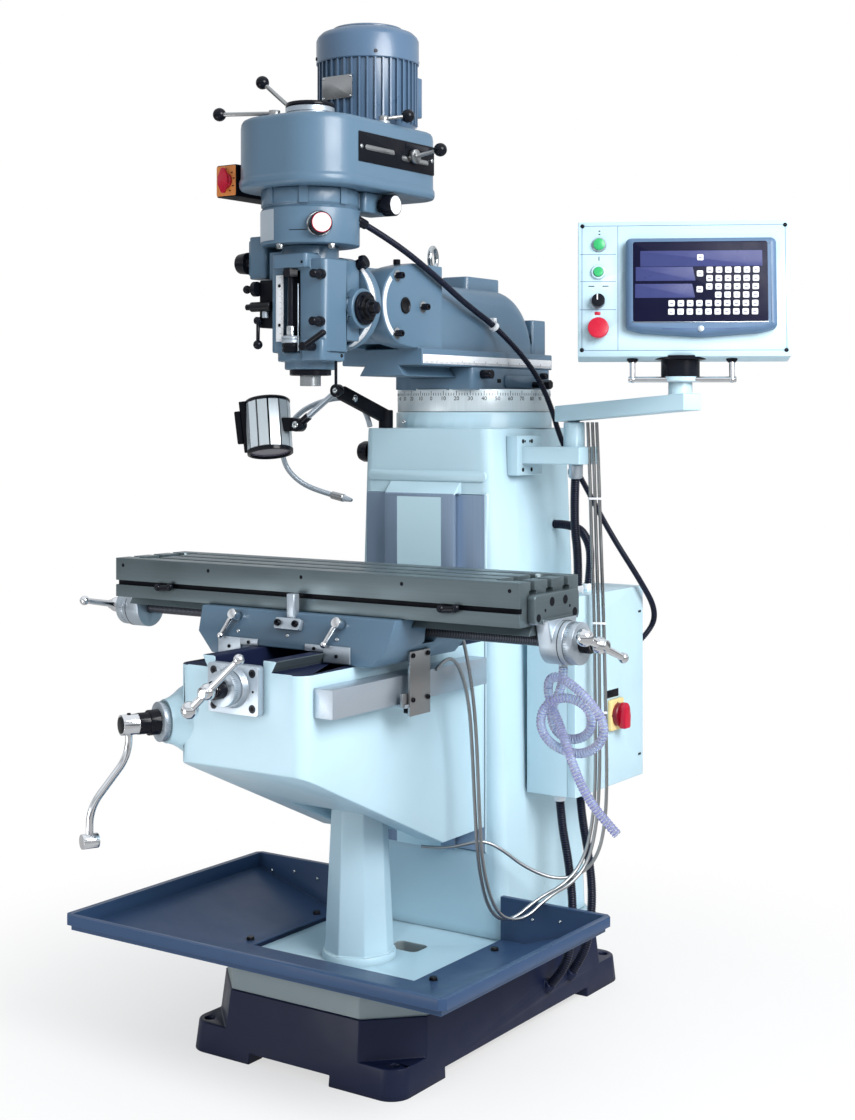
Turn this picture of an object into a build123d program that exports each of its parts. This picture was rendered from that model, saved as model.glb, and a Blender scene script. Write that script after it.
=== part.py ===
"""A turret milling machine: a cast base with a chip tray, a column with its knee, saddle and table, a turret
and ram that carry the tilting head, a control pendant, a lamp, coolant pipes and an electrical cabinet.

Millimetres. The origin is on the floor under the middle of the base. +X runs along the table to the
operator's right, +Y goes back from the operator and +Z is up.
"""
from build123d import *
import os
from math import acos, cos, hypot, pi, radians, sin, sqrt, tan

# Clearances: between sliding faces, and radially between a shaft and its bore
GAP = 0.3
FIT = 0.05

# Base and chip tray
BASE_X, BASE_Y, BASE_BAND, BAND_STEP = 270, 455, 143, 2
BASE_DRAFT_X, BASE_DRAFT_Y, BASE_CHAMFER, BASE_WALL = 8, 20, 100, 28
LEDGE_TOP, LEDGE_ROUND = 62, 45
ARCH_X, ARCH_Y, ARCH = 105, 300, 22
ANCHOR_X, ANCHOR_Y, ANCHOR_R = 245, 437, 11
PAD_X, PAD_FRONT, PAD_TOP, SEAT_TOP = 216, -326, 186, 194
TRAY_X, TRAY_FRONT, TRAY_BACK, TRAY_TOP = 480, -620, 15, 293
TRAY_FOLD_X, TRAY_FOLD_Y, TRAY_WING = 280, -455, 258
TRAY_SHEET, TRAY_LIP, LIP_HEIGHT, LIP_CUT = 3, 12, 22, 12

# Column
COLUMN_FRONT, COLUMN_FACE, COLUMN_TOP, COLUMN_WALL = 28, 31, 1337, 22
COLUMN_LOW = {"front": 214, "middle": 228, "back": 452}
COLUMN_HIGH = {"front": 172, "middle": 188, "back": 430}
TURRET_Y, TURRET_SEAT, TURRET_R = 240, 1375, 184
SPIGOT_R = 40
WAY_LOW, WAY_HIGH, WAY_FRONT = 380, 1188, 5
COLUMN_WAY = (85, COLUMN_FRONT), (98, WAY_FRONT)
FLANK_X = 166

# Knee and its drive
KNEE_X, KNEE_FRONT, KNEE_TOP, KNEE_LOW = 165, -630, 860, 437
KNEE_WALL, KNEE_CORNER = 25, 30
CROSS_TOP = 883
KNEE_WAY = (84, KNEE_TOP), (97, CROSS_TOP)
CHANNEL_X, CHANNEL_Z = 62, 790
LIFT_Y, LIFT_R, PEDESTAL_TOP = -225, 18, 545
CRANK_ARM_R, CRANK_BEND = 7.5, 90
CRANK_Z, CRANK_DIAL, CRANK_R = 739, (-193, -640), 11
CRANK_REACH = hypot(CRANK_DIAL[0], CRANK_DIAL[1] - LIFT_Y)

# Saddle and table
SADDLE_FRONT, SADDLE_BACK, SADDLE_TOP = -470, -165, 957
CROSS_SCREW_Z, CROSS_SCREW_R = 828, 12
TABLE_X, TABLE_Y, TABLE_HALF, TABLE_LOW, TABLE_TOP = 533, -315, 115, 958, 1045
TABLE_WAY_Z = 938
TABLE_WAY = (62, TABLE_LOW), (74, TABLE_WAY_Z)
TABLE_SCREW_Z, TABLE_SCREW_R, HUB_R, HUB_END = 922, 12, 44, 585
SLOT_PITCH, SLOT_WIDTH, SLOT_NECK, SLOT_FOOT, SLOT_DEPTH = 65, 16, 18, 27, 30

# Turret and ram
TURRET_X, TURRET_FRONT, TURRET_REAR, RING_TOP, TURRET_TOP = 110, 62, 418, 1428, 1478
RAM_FRONT, RAM_REAR, RAM_PLATE = -142, 425, 1515
RAM_WAY_Z = 1455
RAM_WAY = (46, TURRET_TOP + GAP), (62, RAM_WAY_Z)
PINION_Y, PINION_Z, PINION_R = 330, 1441, 8
FORK_X, FORK_SLOT, FORK_REAR, FORK_TOP, FORK_R, TONGUE_R = 100, 45.5, -47, 1700, 86, 82
NOD_Y, NOD_Z, NOD_R, FLANGE_R = -192, 1606, 18, 100
FLANGE_Y, HEAD_FLANGE_Y = -300, -322
EYE_Y, EYE_Z, EYE_R, EYE_WIRE_R, EYE_TURN = 64, 1731, 25, 6, 16

# Head
SPINDLE_Y, SPINDLE_R, SPINDLE_LOW, SPINDLE_TOP = -398, 17.5, 1429, 1990
NOSE_R, NOSE_BORE, NOSE_BORE_TOP = 22, 12.065, 1529
QUILL_R, QUILL_LOW, QUILL_TOP = 43, 1452, 1700
HEAD_R, HEAD_LOW, HEAD_TOP = 60, 1463, 1722
HEAD_FACE, HEAD_X = -462, 76
FEED_Y, FEED_Z, FEED_R, FEED_FACE = -345, 1592, 9, 101
GEAR_R, GEAR_TOP = 104, 1838
BELT_X, BELT_FRONT, BELT_BACK, BELT_TOP, BELT_WALL = 143, -530, -100, 1985, 8
BELT_ROUND_FRONT, BELT_ROUND_BACK = 110, 60
MOTOR_Y, MOTOR_R, MOTOR_TOP, COVER_R, MACHINE_TOP = -194, 110, 2137, 113, 2216
MOTOR_SHAFT_R = 12
PULLEY_LOW, PULLEY_STEP, PULLEY_LIP = 1855, 28, 6
PULLEY_RADII = [76, 64, 52, 40]
BELT_STEP = 1
DRUM_X, DRUM_FRONT, DRUM_BACK, DRUM_Z = -170, -470, -290, 1866

# Pendant and cabinet
POST_X, POST_Y, POST_R, ARM_LOW, POST_TOP = 328, 148, 24, 1257, 1352
ARM_ANGLE, ARM_LENGTH, ARM_RISE, ARM_WIDTH, ARM_HEIGHT = -12.6, 303, 26, 60, 36
SWIVEL_X, SWIVEL_Y, SWIVEL_Z = 624, 82, 1440
PANEL_ANGLE, PANEL_TILT = 28.6, 8
PANEL_CENTRE, PANEL_W, PANEL_H, PANEL_D = (642, 60, 1636), 445, 292, 70
BUTTON_X = -179.5
BUTTON_Y = {"start": 36, "selector": -28, "stop": -88}
CABINET = {"x": (224, 328), "y": (114, 443), "z": (509, 960)}
DOOR_THICK, SWITCH_YZ = 22, (298, 673)
HINGE_LOWS, HINGE_LONG, HINGE_R = (560, 850), 50, 5

# Lamp: the foot's pin on the column, the two knuckles and the lamp head's middle
LAMP_FOOT, LAMP_PIN_R = (-138, 68), 7
KNUCKLE_UP, KNUCKLE_LOW = (-157, -96, 1424), (-269, -98, 1345)
LAMP_X, LAMP_Y, LAMP_LOW, LAMP_TOP, LAMP_R = -360, -98, 1275, 1403, 52

# Cord routes
GOOSENECK = [
    (-164, 40, 1340), (-176, 40, 1386), (-235, 40, 1412), (-310, 40, 1402), (-385, 40, 1372),
    (-430, 40, 1310), (-428, 40, 1248), (-380, 40, 1205), (-312, 40, 1182), (-231, 40, 1167),
]
GOOSENECK_R = 6.5
HEAD_CONDUIT = [
    (93, -326, 1768), (110, -246, 1737), (114, -110, 1682), (110, 40, 1618), (99, 180, 1576),
    (168, 228, 1484), (213, 236, 1400), (230, 262, 1302), (290, 255, 1215), (340, 300, 1090),
    (372, 390, 975), (372, 470, 900), (344, 497, 845), (322, 452, 812),
]
CABINET_CONDUITS = [
    [(330, 150, 1226), (317, 165, 1130), (316, 190, 1040), (308, 200, 965)],
    [(200, 280, 1110), (262, 278, 1112), (304, 264, 1072), (311, 256, 1018), (306, 252, 965)],
    [
        (289, 150, 505), (294, 150, 440), (318, 140, 360), (335, 130, 270), (334, 125, 190),
        (320, 121, 120), (284, 120, 82),
    ],
    [
        (285, 250, 505), (290, 250, 440), (312, 240, 365), (330, 230, 280), (328, 225, 200),
        (314, 222, 128), (284, 220, 85),
    ],
]
SCALE_CABLES = [
    [
        (364, 146, 1352), (367, 150, 1245), (368, 154, 1130), (371, 156, 1015), (375, 156, 900),
        (377, 155, 785), (378, 155, 670), (379, 155, 560), (376, 150, 460), (366, 128, 375),
        (346, 78, 326), (316, 8, 306), (286, -60, 264), (260, -106, 290), (245, -125, 390),
        (240, -131, 520), (239, -140, 650), (239, -152, 750), (241, -190, 832), (243, -240, 864),
        (243, -286, 838),
    ],
    [
        (374, 149, 1352), (377, 153, 1245), (378, 157, 1130), (381, 159, 1015), (385, 159, 900),
        (387, 158, 785), (388, 158, 670), (388, 158, 560), (385, 152, 455), (375, 130, 368),
        (357, 84, 326), (336, 22, 311), (308, -44, 266), (276, -102, 286), (254, -123, 390),
        (250, -129, 520), (249, -136, 650), (246, -142, 740), (236, -148, 830), (222, -157, 905),
    ],
    [
        (384, 151, 1352), (387, 155, 1245), (388, 160, 1130), (391, 163, 1015), (395, 164, 900),
        (398, 164, 785), (400, 165, 670), (402, 166, 560), (400, 164, 460), (390, 150, 382),
        (362, 124, 340), (318, 82, 330), (268, 34, 360), (228, -6, 406), (200, -33, 425),
        (170, -58, 418), (132, -88, 409), (90, -118, 414),
    ],
]
CABLE_R = 4
COOLANT_HOSE = [
    (546, -284, 868), (546, -284, 830), (519, -290, 782), (534, -299, 742), (582, -311, 728),
    (630, -318, 752), (630, -324, 799), (587, -336, 822), (541, -342, 805), (524, -341, 765),
    (538, -336, 730), (577, -332, 711), (622, -335, 711), (664, -341, 738), (673, -346, 780),
    (640, -350, 820), (592, -344, 851), (550, -331, 858), (527, -315, 835), (535, -313, 796),
    (562, -324, 758), (598, -356, 720), (618, -361, 680), (637, -358, 642), (662, -352, 606),
    (700, -345, 568),
]

# Ribbed hoses: the radii of crest, valley and bore, and the count of ribs
HEAD_HOSE, HEAD_RIBS = (7, 6, 4.5), 190
CABINET_HOSE, CABINET_RIBS = (10.5, 9.3, 7), 50
DRAIN_HOSE, DRAIN_RIBS = (9.5, 8.3, 7), 150
RIBS_AT_ONCE = 5
GLAND_R = 14


# Shapes that the sub-parts share
def slab(x, y, z):
    """A box between a pair of limits along each axis."""
    size = [b - a for a, b in (x, y, z)]
    middle = [(a + b) / 2 for a, b in (x, y, z)]
    return Pos(*middle) * Box(*size)


def rounded(x, y, z, radius):
    """A box between limits, with its four upright edges rounded."""
    plan = RectangleRounded(x[1] - x[0], y[1] - y[0], radius)
    return Pos((x[0] + x[1]) / 2, (y[0] + y[1]) / 2, z[0]) * extrude(plan, amount=z[1] - z[0])


def outline(points, radius=0):
    """A flat face from corner points, each corner rounded by the radius."""
    face = make_face(Polyline(*points, close=True))
    return fillet(face.vertices(), radius) if radius else face


def along_x(points, x0, x1, radius=0):
    """An outline of (y, z) corners, drawn out from x0 to x1."""
    return extrude(Plane.YZ.offset(x0) * outline(points, radius), amount=x1 - x0)


def along_y(points, y0, y1, radius=0):
    """An outline of (x, z) corners, drawn out from y0 to y1."""
    plane = Plane(origin=(0, y0, 0), x_dir=(0, 0, 1), z_dir=(0, 1, 0))
    return extrude(plane * outline([(z, x) for x, z in points], radius), amount=y1 - y0)


def along_z(points, z0, z1, radius=0):
    """An outline of (x, y) corners, drawn up from z0 to z1."""
    return extrude(Plane.XY.offset(z0) * outline(points, radius), amount=z1 - z0)


def bar(start, end, radius, end_radius=None):
    """A round bar from one point to another, or a cone where its end has another radius."""
    start, end = Vector(*start), Vector(*end)
    length = (end - start).length
    lowest = (Align.CENTER, Align.CENTER, Align.MIN)
    if end_radius is None:
        solid = Cylinder(radius, length, align=lowest)
    else:
        solid = Cone(radius, end_radius, length, align=lowest)
    return Plane(origin=start, z_dir=end - start) * solid


def upright(x, y, z, radius):
    """A round bar along Z between two heights."""
    return bar((x, y, z[0]), (x, y, z[1]), radius)


def ball(centre, radius, pole, seam=None):
    """A ball about a point, with its pole towards what it is joined to and its seam clear of it."""
    return Plane(origin=centre, x_dir=seam, z_dir=pole) * Sphere(radius)


def turned(profile, x=0, y=0):
    """A profile of (radius, height) corners, turned about an upright axis."""
    face = make_face(Polyline(*[(r, 0, z) for r, z in profile], close=True))
    return Pos(x, y, 0) * revolve(face, Axis.Z)


def dovetail(root, tip, gap=0):
    """Corners of a dovetail from its root to its tip, each a (half width, level) pair, mirrored about the
    middle. With a gap it is the slot for that dovetail: wider by the gap and open past the root."""
    slope = (tip[0] - root[0]) / (tip[1] - root[1])
    away = 1 if tip[1] > root[1] else -1
    first, last = root[1] - away * (1 if gap else 0), tip[1] + away * gap
    near = root[0] + slope * (first - root[1]) + 1.2 * gap
    far = root[0] + slope * (last - root[1]) + 1.2 * gap
    return [(-near, first), (-far, last), (far, last), (near, first)]


# Cords: straight runs joined by tangent arcs
def bend_radii(points):
    """The arc at each inner point that uses 0.45 of the shorter run beside it."""
    radii = []
    for a, b, c in zip(points, points[1:], points[2:]):
        before = Vector(*b) - Vector(*a)
        after = Vector(*c) - Vector(*b)
        turn = radians(before.get_angle(after))
        radii.append(0.45 * min(before.length, after.length) / tan(turn / 2))
    return radii


def route(points):
    """The middle line of a cord."""
    return FilletPolyline(*points, radius=bend_radii(points))


def start_plane(points):
    """The plane across a cord's first run."""
    return Plane(origin=points[0], z_dir=Vector(*points[1]) - Vector(*points[0]))


def cord(points, radius):
    """A plain round cord along a route."""
    return sweep(start_plane(points) * Circle(radius), path=route(points))


def across(path, along, steady):
    """The plane across a path, a length along it, with its X axis kept near a steady direction."""
    tangent = path.tangent_at(along, PositionMode.LENGTH)
    side = steady - tangent * steady.dot(tangent)
    return Plane(origin=path.position_at(along, PositionMode.LENGTH), x_dir=side, z_dir=tangent)


def hose_stretch(path, pitch, first, last, crest, valley, steady):
    """A few ribs as a ruled skin through four circles per rib, closed by the next valley's circle."""
    circles = []
    for rib in range(first, last):
        for part, radius in ((0, valley), (0.25, crest), (0.6, crest), (0.85, valley)):
            circles.append(across(path, (rib + part) * pitch, steady) * Circle(radius))
    circles.append(across(path, last * pitch, steady) * Circle(valley))
    return loft(circles, ruled=True)


def ribbed_hose(points, radii, ribs, steady):
    """A ribbed hose, made in short stretches of ribs, with a bore along its whole length."""
    crest, valley, bore = radii
    path = route(points)
    pitch = path.length / ribs
    stretches = []
    for first in range(0, ribs, RIBS_AT_ONCE):
        last = min(first + RIBS_AT_ONCE, ribs)
        stretches.append(hose_stretch(path, pitch, first, last, crest, valley, Vector(*steady)))
    return stretches[0] + stretches[1:] - cord(points, bore)


def gland(points, length, radius=GLAND_R):
    """The gland that a cord's last point ends on, drawn on into what carries it."""
    end, before = Vector(*points[-1]), Vector(*points[-2])
    return bar(end, end + (end - before).normalized() * length, radius)


def report_cord(name, points, radius):
    """Print a cord's length and its tightest bend."""
    length = route(points).length
    print(f"{name}: length {length:.0f}, tightest bend {min(bend_radii(points)):.0f}, diameter {2 * radius}")


# Base, tray and column
def base_plan(x, y, chamfer):
    """An outline of half sizes with chamfered corners."""
    right = [(x - chamfer, -y), (x, chamfer - y), (x, y - chamfer), (x - chamfer, y)]
    return right + [(-px, py) for px, py in reversed(right)]


def base_half(z):
    """The half sizes of the base's drafted sides at a height below the band."""
    share = 1 - z / BASE_BAND
    return BASE_X + BASE_DRAFT_X * share, BASE_Y + BASE_DRAFT_Y * share


def base_seat():
    """The base's upper band and the raised frame that the tray lies on, open over the column's pad."""
    plan = base_plan(BASE_X - BAND_STEP, BASE_Y - BAND_STEP, BASE_CHAMFER)
    seat = along_z(plan, PAD_TOP - 1, SEAT_TOP)
    seat -= slab((-PAD_X, PAD_X), (PAD_FRONT, BASE_Y), (PAD_TOP, SEAT_TOP + 1))
    seat -= slab((-BASE_X, BASE_X), (TRAY_BACK, BASE_Y), (PAD_TOP, SEAT_TOP + 1))
    return seat + along_z(plan, BASE_BAND - 1, PAD_TOP)


def base_casting():
    """A hollow cast base with drafted sides, a rounded ledge for an anchor at each corner, arches between the
    feet, a band below the tray and the pad that carries the column and the pedestal."""
    flanks = [Plane.XY.offset(z) * outline(base_plan(*base_half(z), BASE_CHAMFER)) for z in (0, BASE_BAND)]
    feet = []
    for z in (0, LEDGE_TOP):
        x, y = base_half(z)
        feet.append(Plane.XY.offset(z) * RectangleRounded(2 * x, 2 * y, LEDGE_ROUND))
    body = loft(flanks, ruled=True) + loft(feet, ruled=True) + base_seat()
    inner_chamfer = BASE_CHAMFER - BASE_WALL * (2 - sqrt(2))
    inner = base_plan(BASE_X - BASE_WALL, BASE_Y - BASE_WALL, inner_chamfer)
    body -= along_z(inner, -1, PAD_TOP - BASE_WALL)
    body -= slab((-ARCH_X, ARCH_X), (-2 * BASE_Y, 2 * BASE_Y), (-1, ARCH))
    body -= slab((-2 * BASE_X, 2 * BASE_X), (-ARCH_Y, ARCH_Y), (-1, ARCH))
    for sx in (-1, 1):
        for sy in (-1, 1):
            body -= upright(sx * ANCHOR_X, sy * ANCHOR_Y, (-1, LEDGE_TOP + 1), ANCHOR_R)
    floor = (PAD_TOP - BASE_WALL - 1, PAD_TOP + 1)
    body -= upright(0, LIFT_Y, floor, 23)
    body -= rounded((12, 90), (-142, -86), floor, 14)
    return body + gland(CABINET_CONDUITS[2], 22) + gland(CABINET_CONDUITS[3], 22)


def tray_space(lift):
    """The tray's outer shape: a flat floor, three sloping sides and upright walls, raised by a lift."""
    sections = []
    for x, y, z in ((TRAY_FOLD_X, TRAY_FOLD_Y, SEAT_TOP), (TRAY_X, TRAY_FRONT, TRAY_WING)):
        corners = [(-x, y), (x, y), (x, TRAY_BACK), (-x, TRAY_BACK)]
        sections.append(Plane.XY.offset(z + lift) * outline(corners))
    walls = slab((-TRAY_X, TRAY_X), (TRAY_FRONT, TRAY_BACK), (TRAY_WING + lift, TRAY_TOP + lift))
    return loft(sections, ruled=True) + walls


def tray_rim():
    """The tray's folded rim, with its four corners cut."""
    x, front, back = TRAY_X + TRAY_LIP, TRAY_FRONT - TRAY_LIP, TRAY_BACK + TRAY_LIP - 1
    right = [(x - LIP_CUT, front), (x, front + LIP_CUT), (x, back - LIP_CUT), (x - LIP_CUT, back)]
    rim = along_z(right + [(-px, py) for px, py in reversed(right)], TRAY_TOP - LIP_HEIGHT, TRAY_TOP)
    return rim - slab((-TRAY_X, TRAY_X), (TRAY_FRONT, TRAY_BACK), (TRAY_WING, TRAY_TOP + 1))


def chip_tray():
    """A sheet tray with three sloping sides and a folded rim, cut away for the pad and the column."""
    x, y = TRAY_X - TRAY_SHEET, (TRAY_FRONT + TRAY_SHEET, TRAY_BACK - TRAY_SHEET)
    hollow = tray_space(TRAY_SHEET) & slab((-x, x), y, (SEAT_TOP, TRAY_TOP + TRAY_SHEET))
    tray = tray_space(0) - hollow + tray_rim()
    return tray - slab((-PAD_X, PAD_X), (PAD_FRONT, COLUMN_FACE), (SEAT_TOP - 1, TRAY_TOP + 1))


def column_plan(size, inset, z):
    """A column section: a flat front, bowed sides and a chamfered back."""
    front, middle, back = size["front"] - inset, size["middle"] - inset, size["back"] - inset
    y0 = COLUMN_FACE + inset
    half = [(front, y0), (middle, y0 + 92), (middle, back - 70), (middle - 70, back)]
    corners = half + [(-x, y) for x, y in reversed(half)]
    return Plane.XY.offset(z) * outline(corners, 30 - inset / 2)


def column_body(inset, low, high):
    """The tapering column, or its hollow when drawn in."""
    return loft([column_plan(COLUMN_LOW, inset, low), column_plan(COLUMN_HIGH, inset, high)], ruled=True)


def column_casting():
    """The hollow column with its ground flanks and dovetail way, the turret's seat and the lamp's pin."""
    column = column_body(0, PAD_TOP, COLUMN_TOP)
    column += upright(0, TURRET_Y, (COLUMN_TOP - 20, TURRET_SEAT), TURRET_R + 3)
    column -= column_body(COLUMN_WALL, PAD_TOP - 20, COLUMN_TOP - 32)
    column += slab((-FLANK_X, FLANK_X), (COLUMN_FRONT, COLUMN_FACE + 12), (WAY_LOW, WAY_HIGH))
    column += along_z(dovetail(*COLUMN_WAY), WAY_LOW, WAY_HIGH)
    cap = [(WAY_FRONT, WAY_HIGH), (COLUMN_FACE + 1, WAY_HIGH), (COLUMN_FACE + 1, WAY_HIGH + 28)]
    column += along_x(cap, -98, 98)
    column -= slab((-34, 34), (WAY_FRONT - 1, WAY_FRONT + 7), (WAY_LOW - 1, WAY_HIGH - 20))
    column -= upright(0, TURRET_Y, (COLUMN_TOP - 60, TURRET_SEAT + 1), SPIGOT_R + FIT)
    column += upright(*LAMP_FOOT, (COLUMN_TOP - 5, COLUMN_TOP + 30), LAMP_PIN_R)
    return column + gland(CABINET_CONDUITS[1][::-1], 18)


def knee_screw_pedestal():
    """An eight-sided pedestal with the elevating screw's nut at its top."""
    low = Plane.XY.offset(PAD_TOP + 12) * RegularPolygon(77, 8)
    high = Plane.XY.offset(PEDESTAL_TOP) * RegularPolygon(60, 8)
    body = loft([low, high], ruled=True) + upright(0, 0, (PAD_TOP, PAD_TOP + 16), 80)
    body -= upright(0, 0, (PAD_TOP - 1, PEDESTAL_TOP - 60), 23)
    body -= upright(0, 0, (PEDESTAL_TOP - 61, PEDESTAL_TOP + 1), LIFT_R + FIT)
    return Pos(0, LIFT_Y, 0) * body


# Knee
def crank_point(distance, z=CRANK_Z):
    """A point on the knee crank's axis, a distance out from the dial."""
    dx, dy = CRANK_DIAL[0] / CRANK_REACH, (CRANK_DIAL[1] - LIFT_Y) / CRANK_REACH
    return (CRANK_DIAL[0] + dx * distance, CRANK_DIAL[1] + dy * distance, z)


def knee_casting():
    """The hollow knee: a slotted back for the column's way, a dovetail top with the screw's channel."""
    side = [(KNEE_FRONT, KNEE_TOP), (KNEE_FRONT, 660), (-142, KNEE_LOW), (COLUMN_FRONT - GAP, KNEE_LOW)]
    side.append((COLUMN_FRONT - GAP, KNEE_TOP))
    knee = along_x(side, -KNEE_X, KNEE_X)
    knee &= rounded((-KNEE_X, KNEE_X), (KNEE_FRONT, 200), (KNEE_LOW - 1, KNEE_TOP), KNEE_CORNER)
    knee += bar(crank_point(0), crank_point(-115), 37)
    knee += along_y(dovetail(*KNEE_WAY), KNEE_FRONT, 0)
    inner = KNEE_FRONT + KNEE_WALL
    hollow = [(inner, 768), (inner, 676), (-136, 462), (-28, 462), (-28, 768)]
    knee -= along_x(hollow, KNEE_WALL - KNEE_X, KNEE_X - KNEE_WALL)
    knee += slab((-145, 145), (LIFT_Y - 45, LIFT_Y + 45), (650, 676))
    knee -= slab((-95, 95), (-345, -105), (400, 600))
    knee -= slab((-CHANNEL_X, CHANNEL_X), (KNEE_FRONT - 1, -30), (CHANNEL_Z, CROSS_TOP + 1))
    knee -= along_z(dovetail(*COLUMN_WAY, GAP), KNEE_LOW - 1, CROSS_TOP + 1)
    knee -= upright(0, LIFT_Y, (640, 680), LIFT_R + FIT)
    knee -= bar(crank_point(5), crank_point(-200), CRANK_R + FIT)
    return knee


def elevating_screw():
    """The screw that lifts the knee, with its thrust collar and bevel gear."""
    screw = upright(0, LIFT_Y, (200, 762), LIFT_R)
    screw += upright(0, LIFT_Y, (676 + GAP, 690), 32)
    return screw + bar((0, LIFT_Y, 690), (0, LIFT_Y, 716), 52, 40)


def knee_crank():
    """The knee's crank: a shaft with a bevel pinion inside, and a dial, coupling and S-bent arm with an eye
    outside the knee."""
    crank = bar(crank_point(82), crank_point(40 - CRANK_REACH), CRANK_R)
    crank += bar(crank_point(66 - CRANK_REACH), crank_point(30 - CRANK_REACH), 21, 15)
    crank += bar(crank_point(0.5), crank_point(12), 41)
    crank += bar(crank_point(12), crank_point(34), 26)
    crank += bar(crank_point(34), crank_point(58), 22)
    crank += bar(crank_point(58), crank_point(92), 21)
    elbows = [crank_point(75), crank_point(75, CRANK_Z - 62), crank_point(158, CRANK_Z - 160)]
    elbows.append(crank_point(158, CRANK_Z - 226))
    section = Plane(origin=elbows[0], z_dir=(0, 0, -1)) * Circle(CRANK_ARM_R)
    crank += sweep(section, path=FilletPolyline(*elbows, radius=CRANK_BEND))
    return crank + bar(crank_point(141, CRANK_Z - 226), crank_point(175, CRANK_Z - 226), 15)


def cross_screw_bracket():
    """The plate on the knee's front that carries the cross-feed screw."""
    plate = slab((-66, 66), (KNEE_FRONT - 18, KNEE_FRONT), (773, 873))
    plate = fillet(plate.edges().filter_by(Axis.Y), 8)
    z = CROSS_SCREW_Z
    plate += bar((0, KNEE_FRONT - 17, z), (0, KNEE_FRONT - 32, z), 42, 38)
    return plate - bar((0, KNEE_FRONT + 1, z), (0, KNEE_FRONT - 40, z), CROSS_SCREW_R + FIT)


def ball_handle(centre, direction, axis):
    """A ball handle: a hub ball with a long tapered arm and a short arm with a heavy ball."""
    centre, direction, axis = Vector(*centre), Vector(*direction), Vector(*axis)
    handle = ball(centre, 17, axis, axis.cross(direction)) + bar(centre - axis * 20, centre + axis * 19, 11)
    handle += bar(centre, centre + direction * 105, 8, 6.5)
    handle += ball(centre + direction * 105, 11, direction)
    handle += bar(centre, centre - direction * 62, 9)
    return handle + ball(centre - direction * 62, 18, direction)


def cross_feed_screw():
    """The cross-feed screw with its dial and ball handle."""
    front = KNEE_FRONT - 32
    screw = bar((0, -60, CROSS_SCREW_Z), (0, front - 60, CROSS_SCREW_Z), CROSS_SCREW_R)
    screw += bar((0, front - 0.5, CROSS_SCREW_Z), (0, front - 22, CROSS_SCREW_Z), 36)
    screw += bar((0, front - 22, CROSS_SCREW_Z), (0, front - 44, CROSS_SCREW_Z), 19)
    slant = radians(41)
    return screw + ball_handle((0, front - 60, CROSS_SCREW_Z), (cos(slant), 0, sin(slant)), (0, -1, 0))


def cross_scale():
    """The cross-travel scale in its aluminium channel on the knee's right side."""
    channel = slab((KNEE_X, KNEE_X + 48), (-598, -40), (775, 833))
    return channel - slab((KNEE_X + 8, KNEE_X + 42), (-599, -39), (774, 800))


# Saddle and table
def saddle_casting():
    """The saddle between knee and table, with dovetail slots both ways and the two screw nuts."""
    low = KNEE_TOP + GAP
    side = [(-450, SADDLE_TOP), (SADDLE_FRONT, 904), (SADDLE_FRONT, low), (SADDLE_BACK, low)]
    side.append((SADDLE_BACK, SADDLE_TOP))
    ends = [(-257, SADDLE_TOP), (-250, 904), (-212, low), (212, low), (250, 904), (257, SADDLE_TOP)]
    saddle = along_x(side, -257, 257) & along_y(ends, SADDLE_FRONT, SADDLE_BACK)
    saddle -= along_y(dovetail(*KNEE_WAY, GAP), SADDLE_FRONT - 1, SADDLE_BACK + 1)
    saddle -= along_x([(TABLE_Y + y, z) for y, z in dovetail(*TABLE_WAY, GAP)], -258, 258)
    for sx in (-1, 1):
        x = sorted((sx * 45, sx * 258))
        saddle -= slab(x, (TABLE_Y - 22, TABLE_Y + 22), (TABLE_SCREW_Z - 24, TABLE_WAY_Z))
    saddle -= bar((-50, TABLE_Y, TABLE_SCREW_Z), (50, TABLE_Y, TABLE_SCREW_Z), TABLE_SCREW_R + FIT)
    saddle += slab((-30, 30), (-340, -290), (806, CROSS_TOP + 6))
    return saddle - bar((0, -345, CROSS_SCREW_Z), (0, -285, CROSS_SCREW_Z), CROSS_SCREW_R + FIT)


def table_lock_lever(x):
    """A chrome lever on the saddle's sloping front that locks the table."""
    root, hub = Vector(x, -457, 940), Vector(0, -0.936, 0.353)
    lever = bar(root + hub * 1.2, root + hub * 22, 11)
    knob = root + hub * 18 + Vector(-26, -9, -46)
    lever += bar(root + hub * 16, knob, 6, 4.5)
    return lever + ball(knob, 7, knob - root)


def t_slot(y):
    """The space of one T-slot along the table."""
    x, level = (-TABLE_X - 1, TABLE_X + 1), TABLE_TOP - SLOT_NECK
    neck = slab(x, (y - SLOT_WIDTH / 2, y + SLOT_WIDTH / 2), (level, TABLE_TOP + 1))
    return neck + slab(x, (y - SLOT_FOOT / 2, y + SLOT_FOOT / 2), (TABLE_TOP - SLOT_DEPTH, level))


def table():
    """The work table with three T-slots, end troughs, a front groove for its stops and its dovetail."""
    y0, y1 = TABLE_Y - TABLE_HALF, TABLE_Y + TABLE_HALF
    body = slab((-TABLE_X, TABLE_X), (y0, y1), (TABLE_LOW, TABLE_TOP))
    body += along_x([(TABLE_Y + y, z) for y, z in dovetail(*TABLE_WAY)], -530, 530)
    for step in (-1, 0, 1):
        body -= t_slot(TABLE_Y + step * SLOT_PITCH)
    for sx in (-1, 1):
        body -= rounded(sorted((sx * 455, sx * 500)), (-402, -228), (TABLE_TOP - 24, TABLE_TOP + 1), 20)
    return body - slab((-TABLE_X - 1, TABLE_X + 1), (y0 - 1, y0 + 9), (985, 995))


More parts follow.
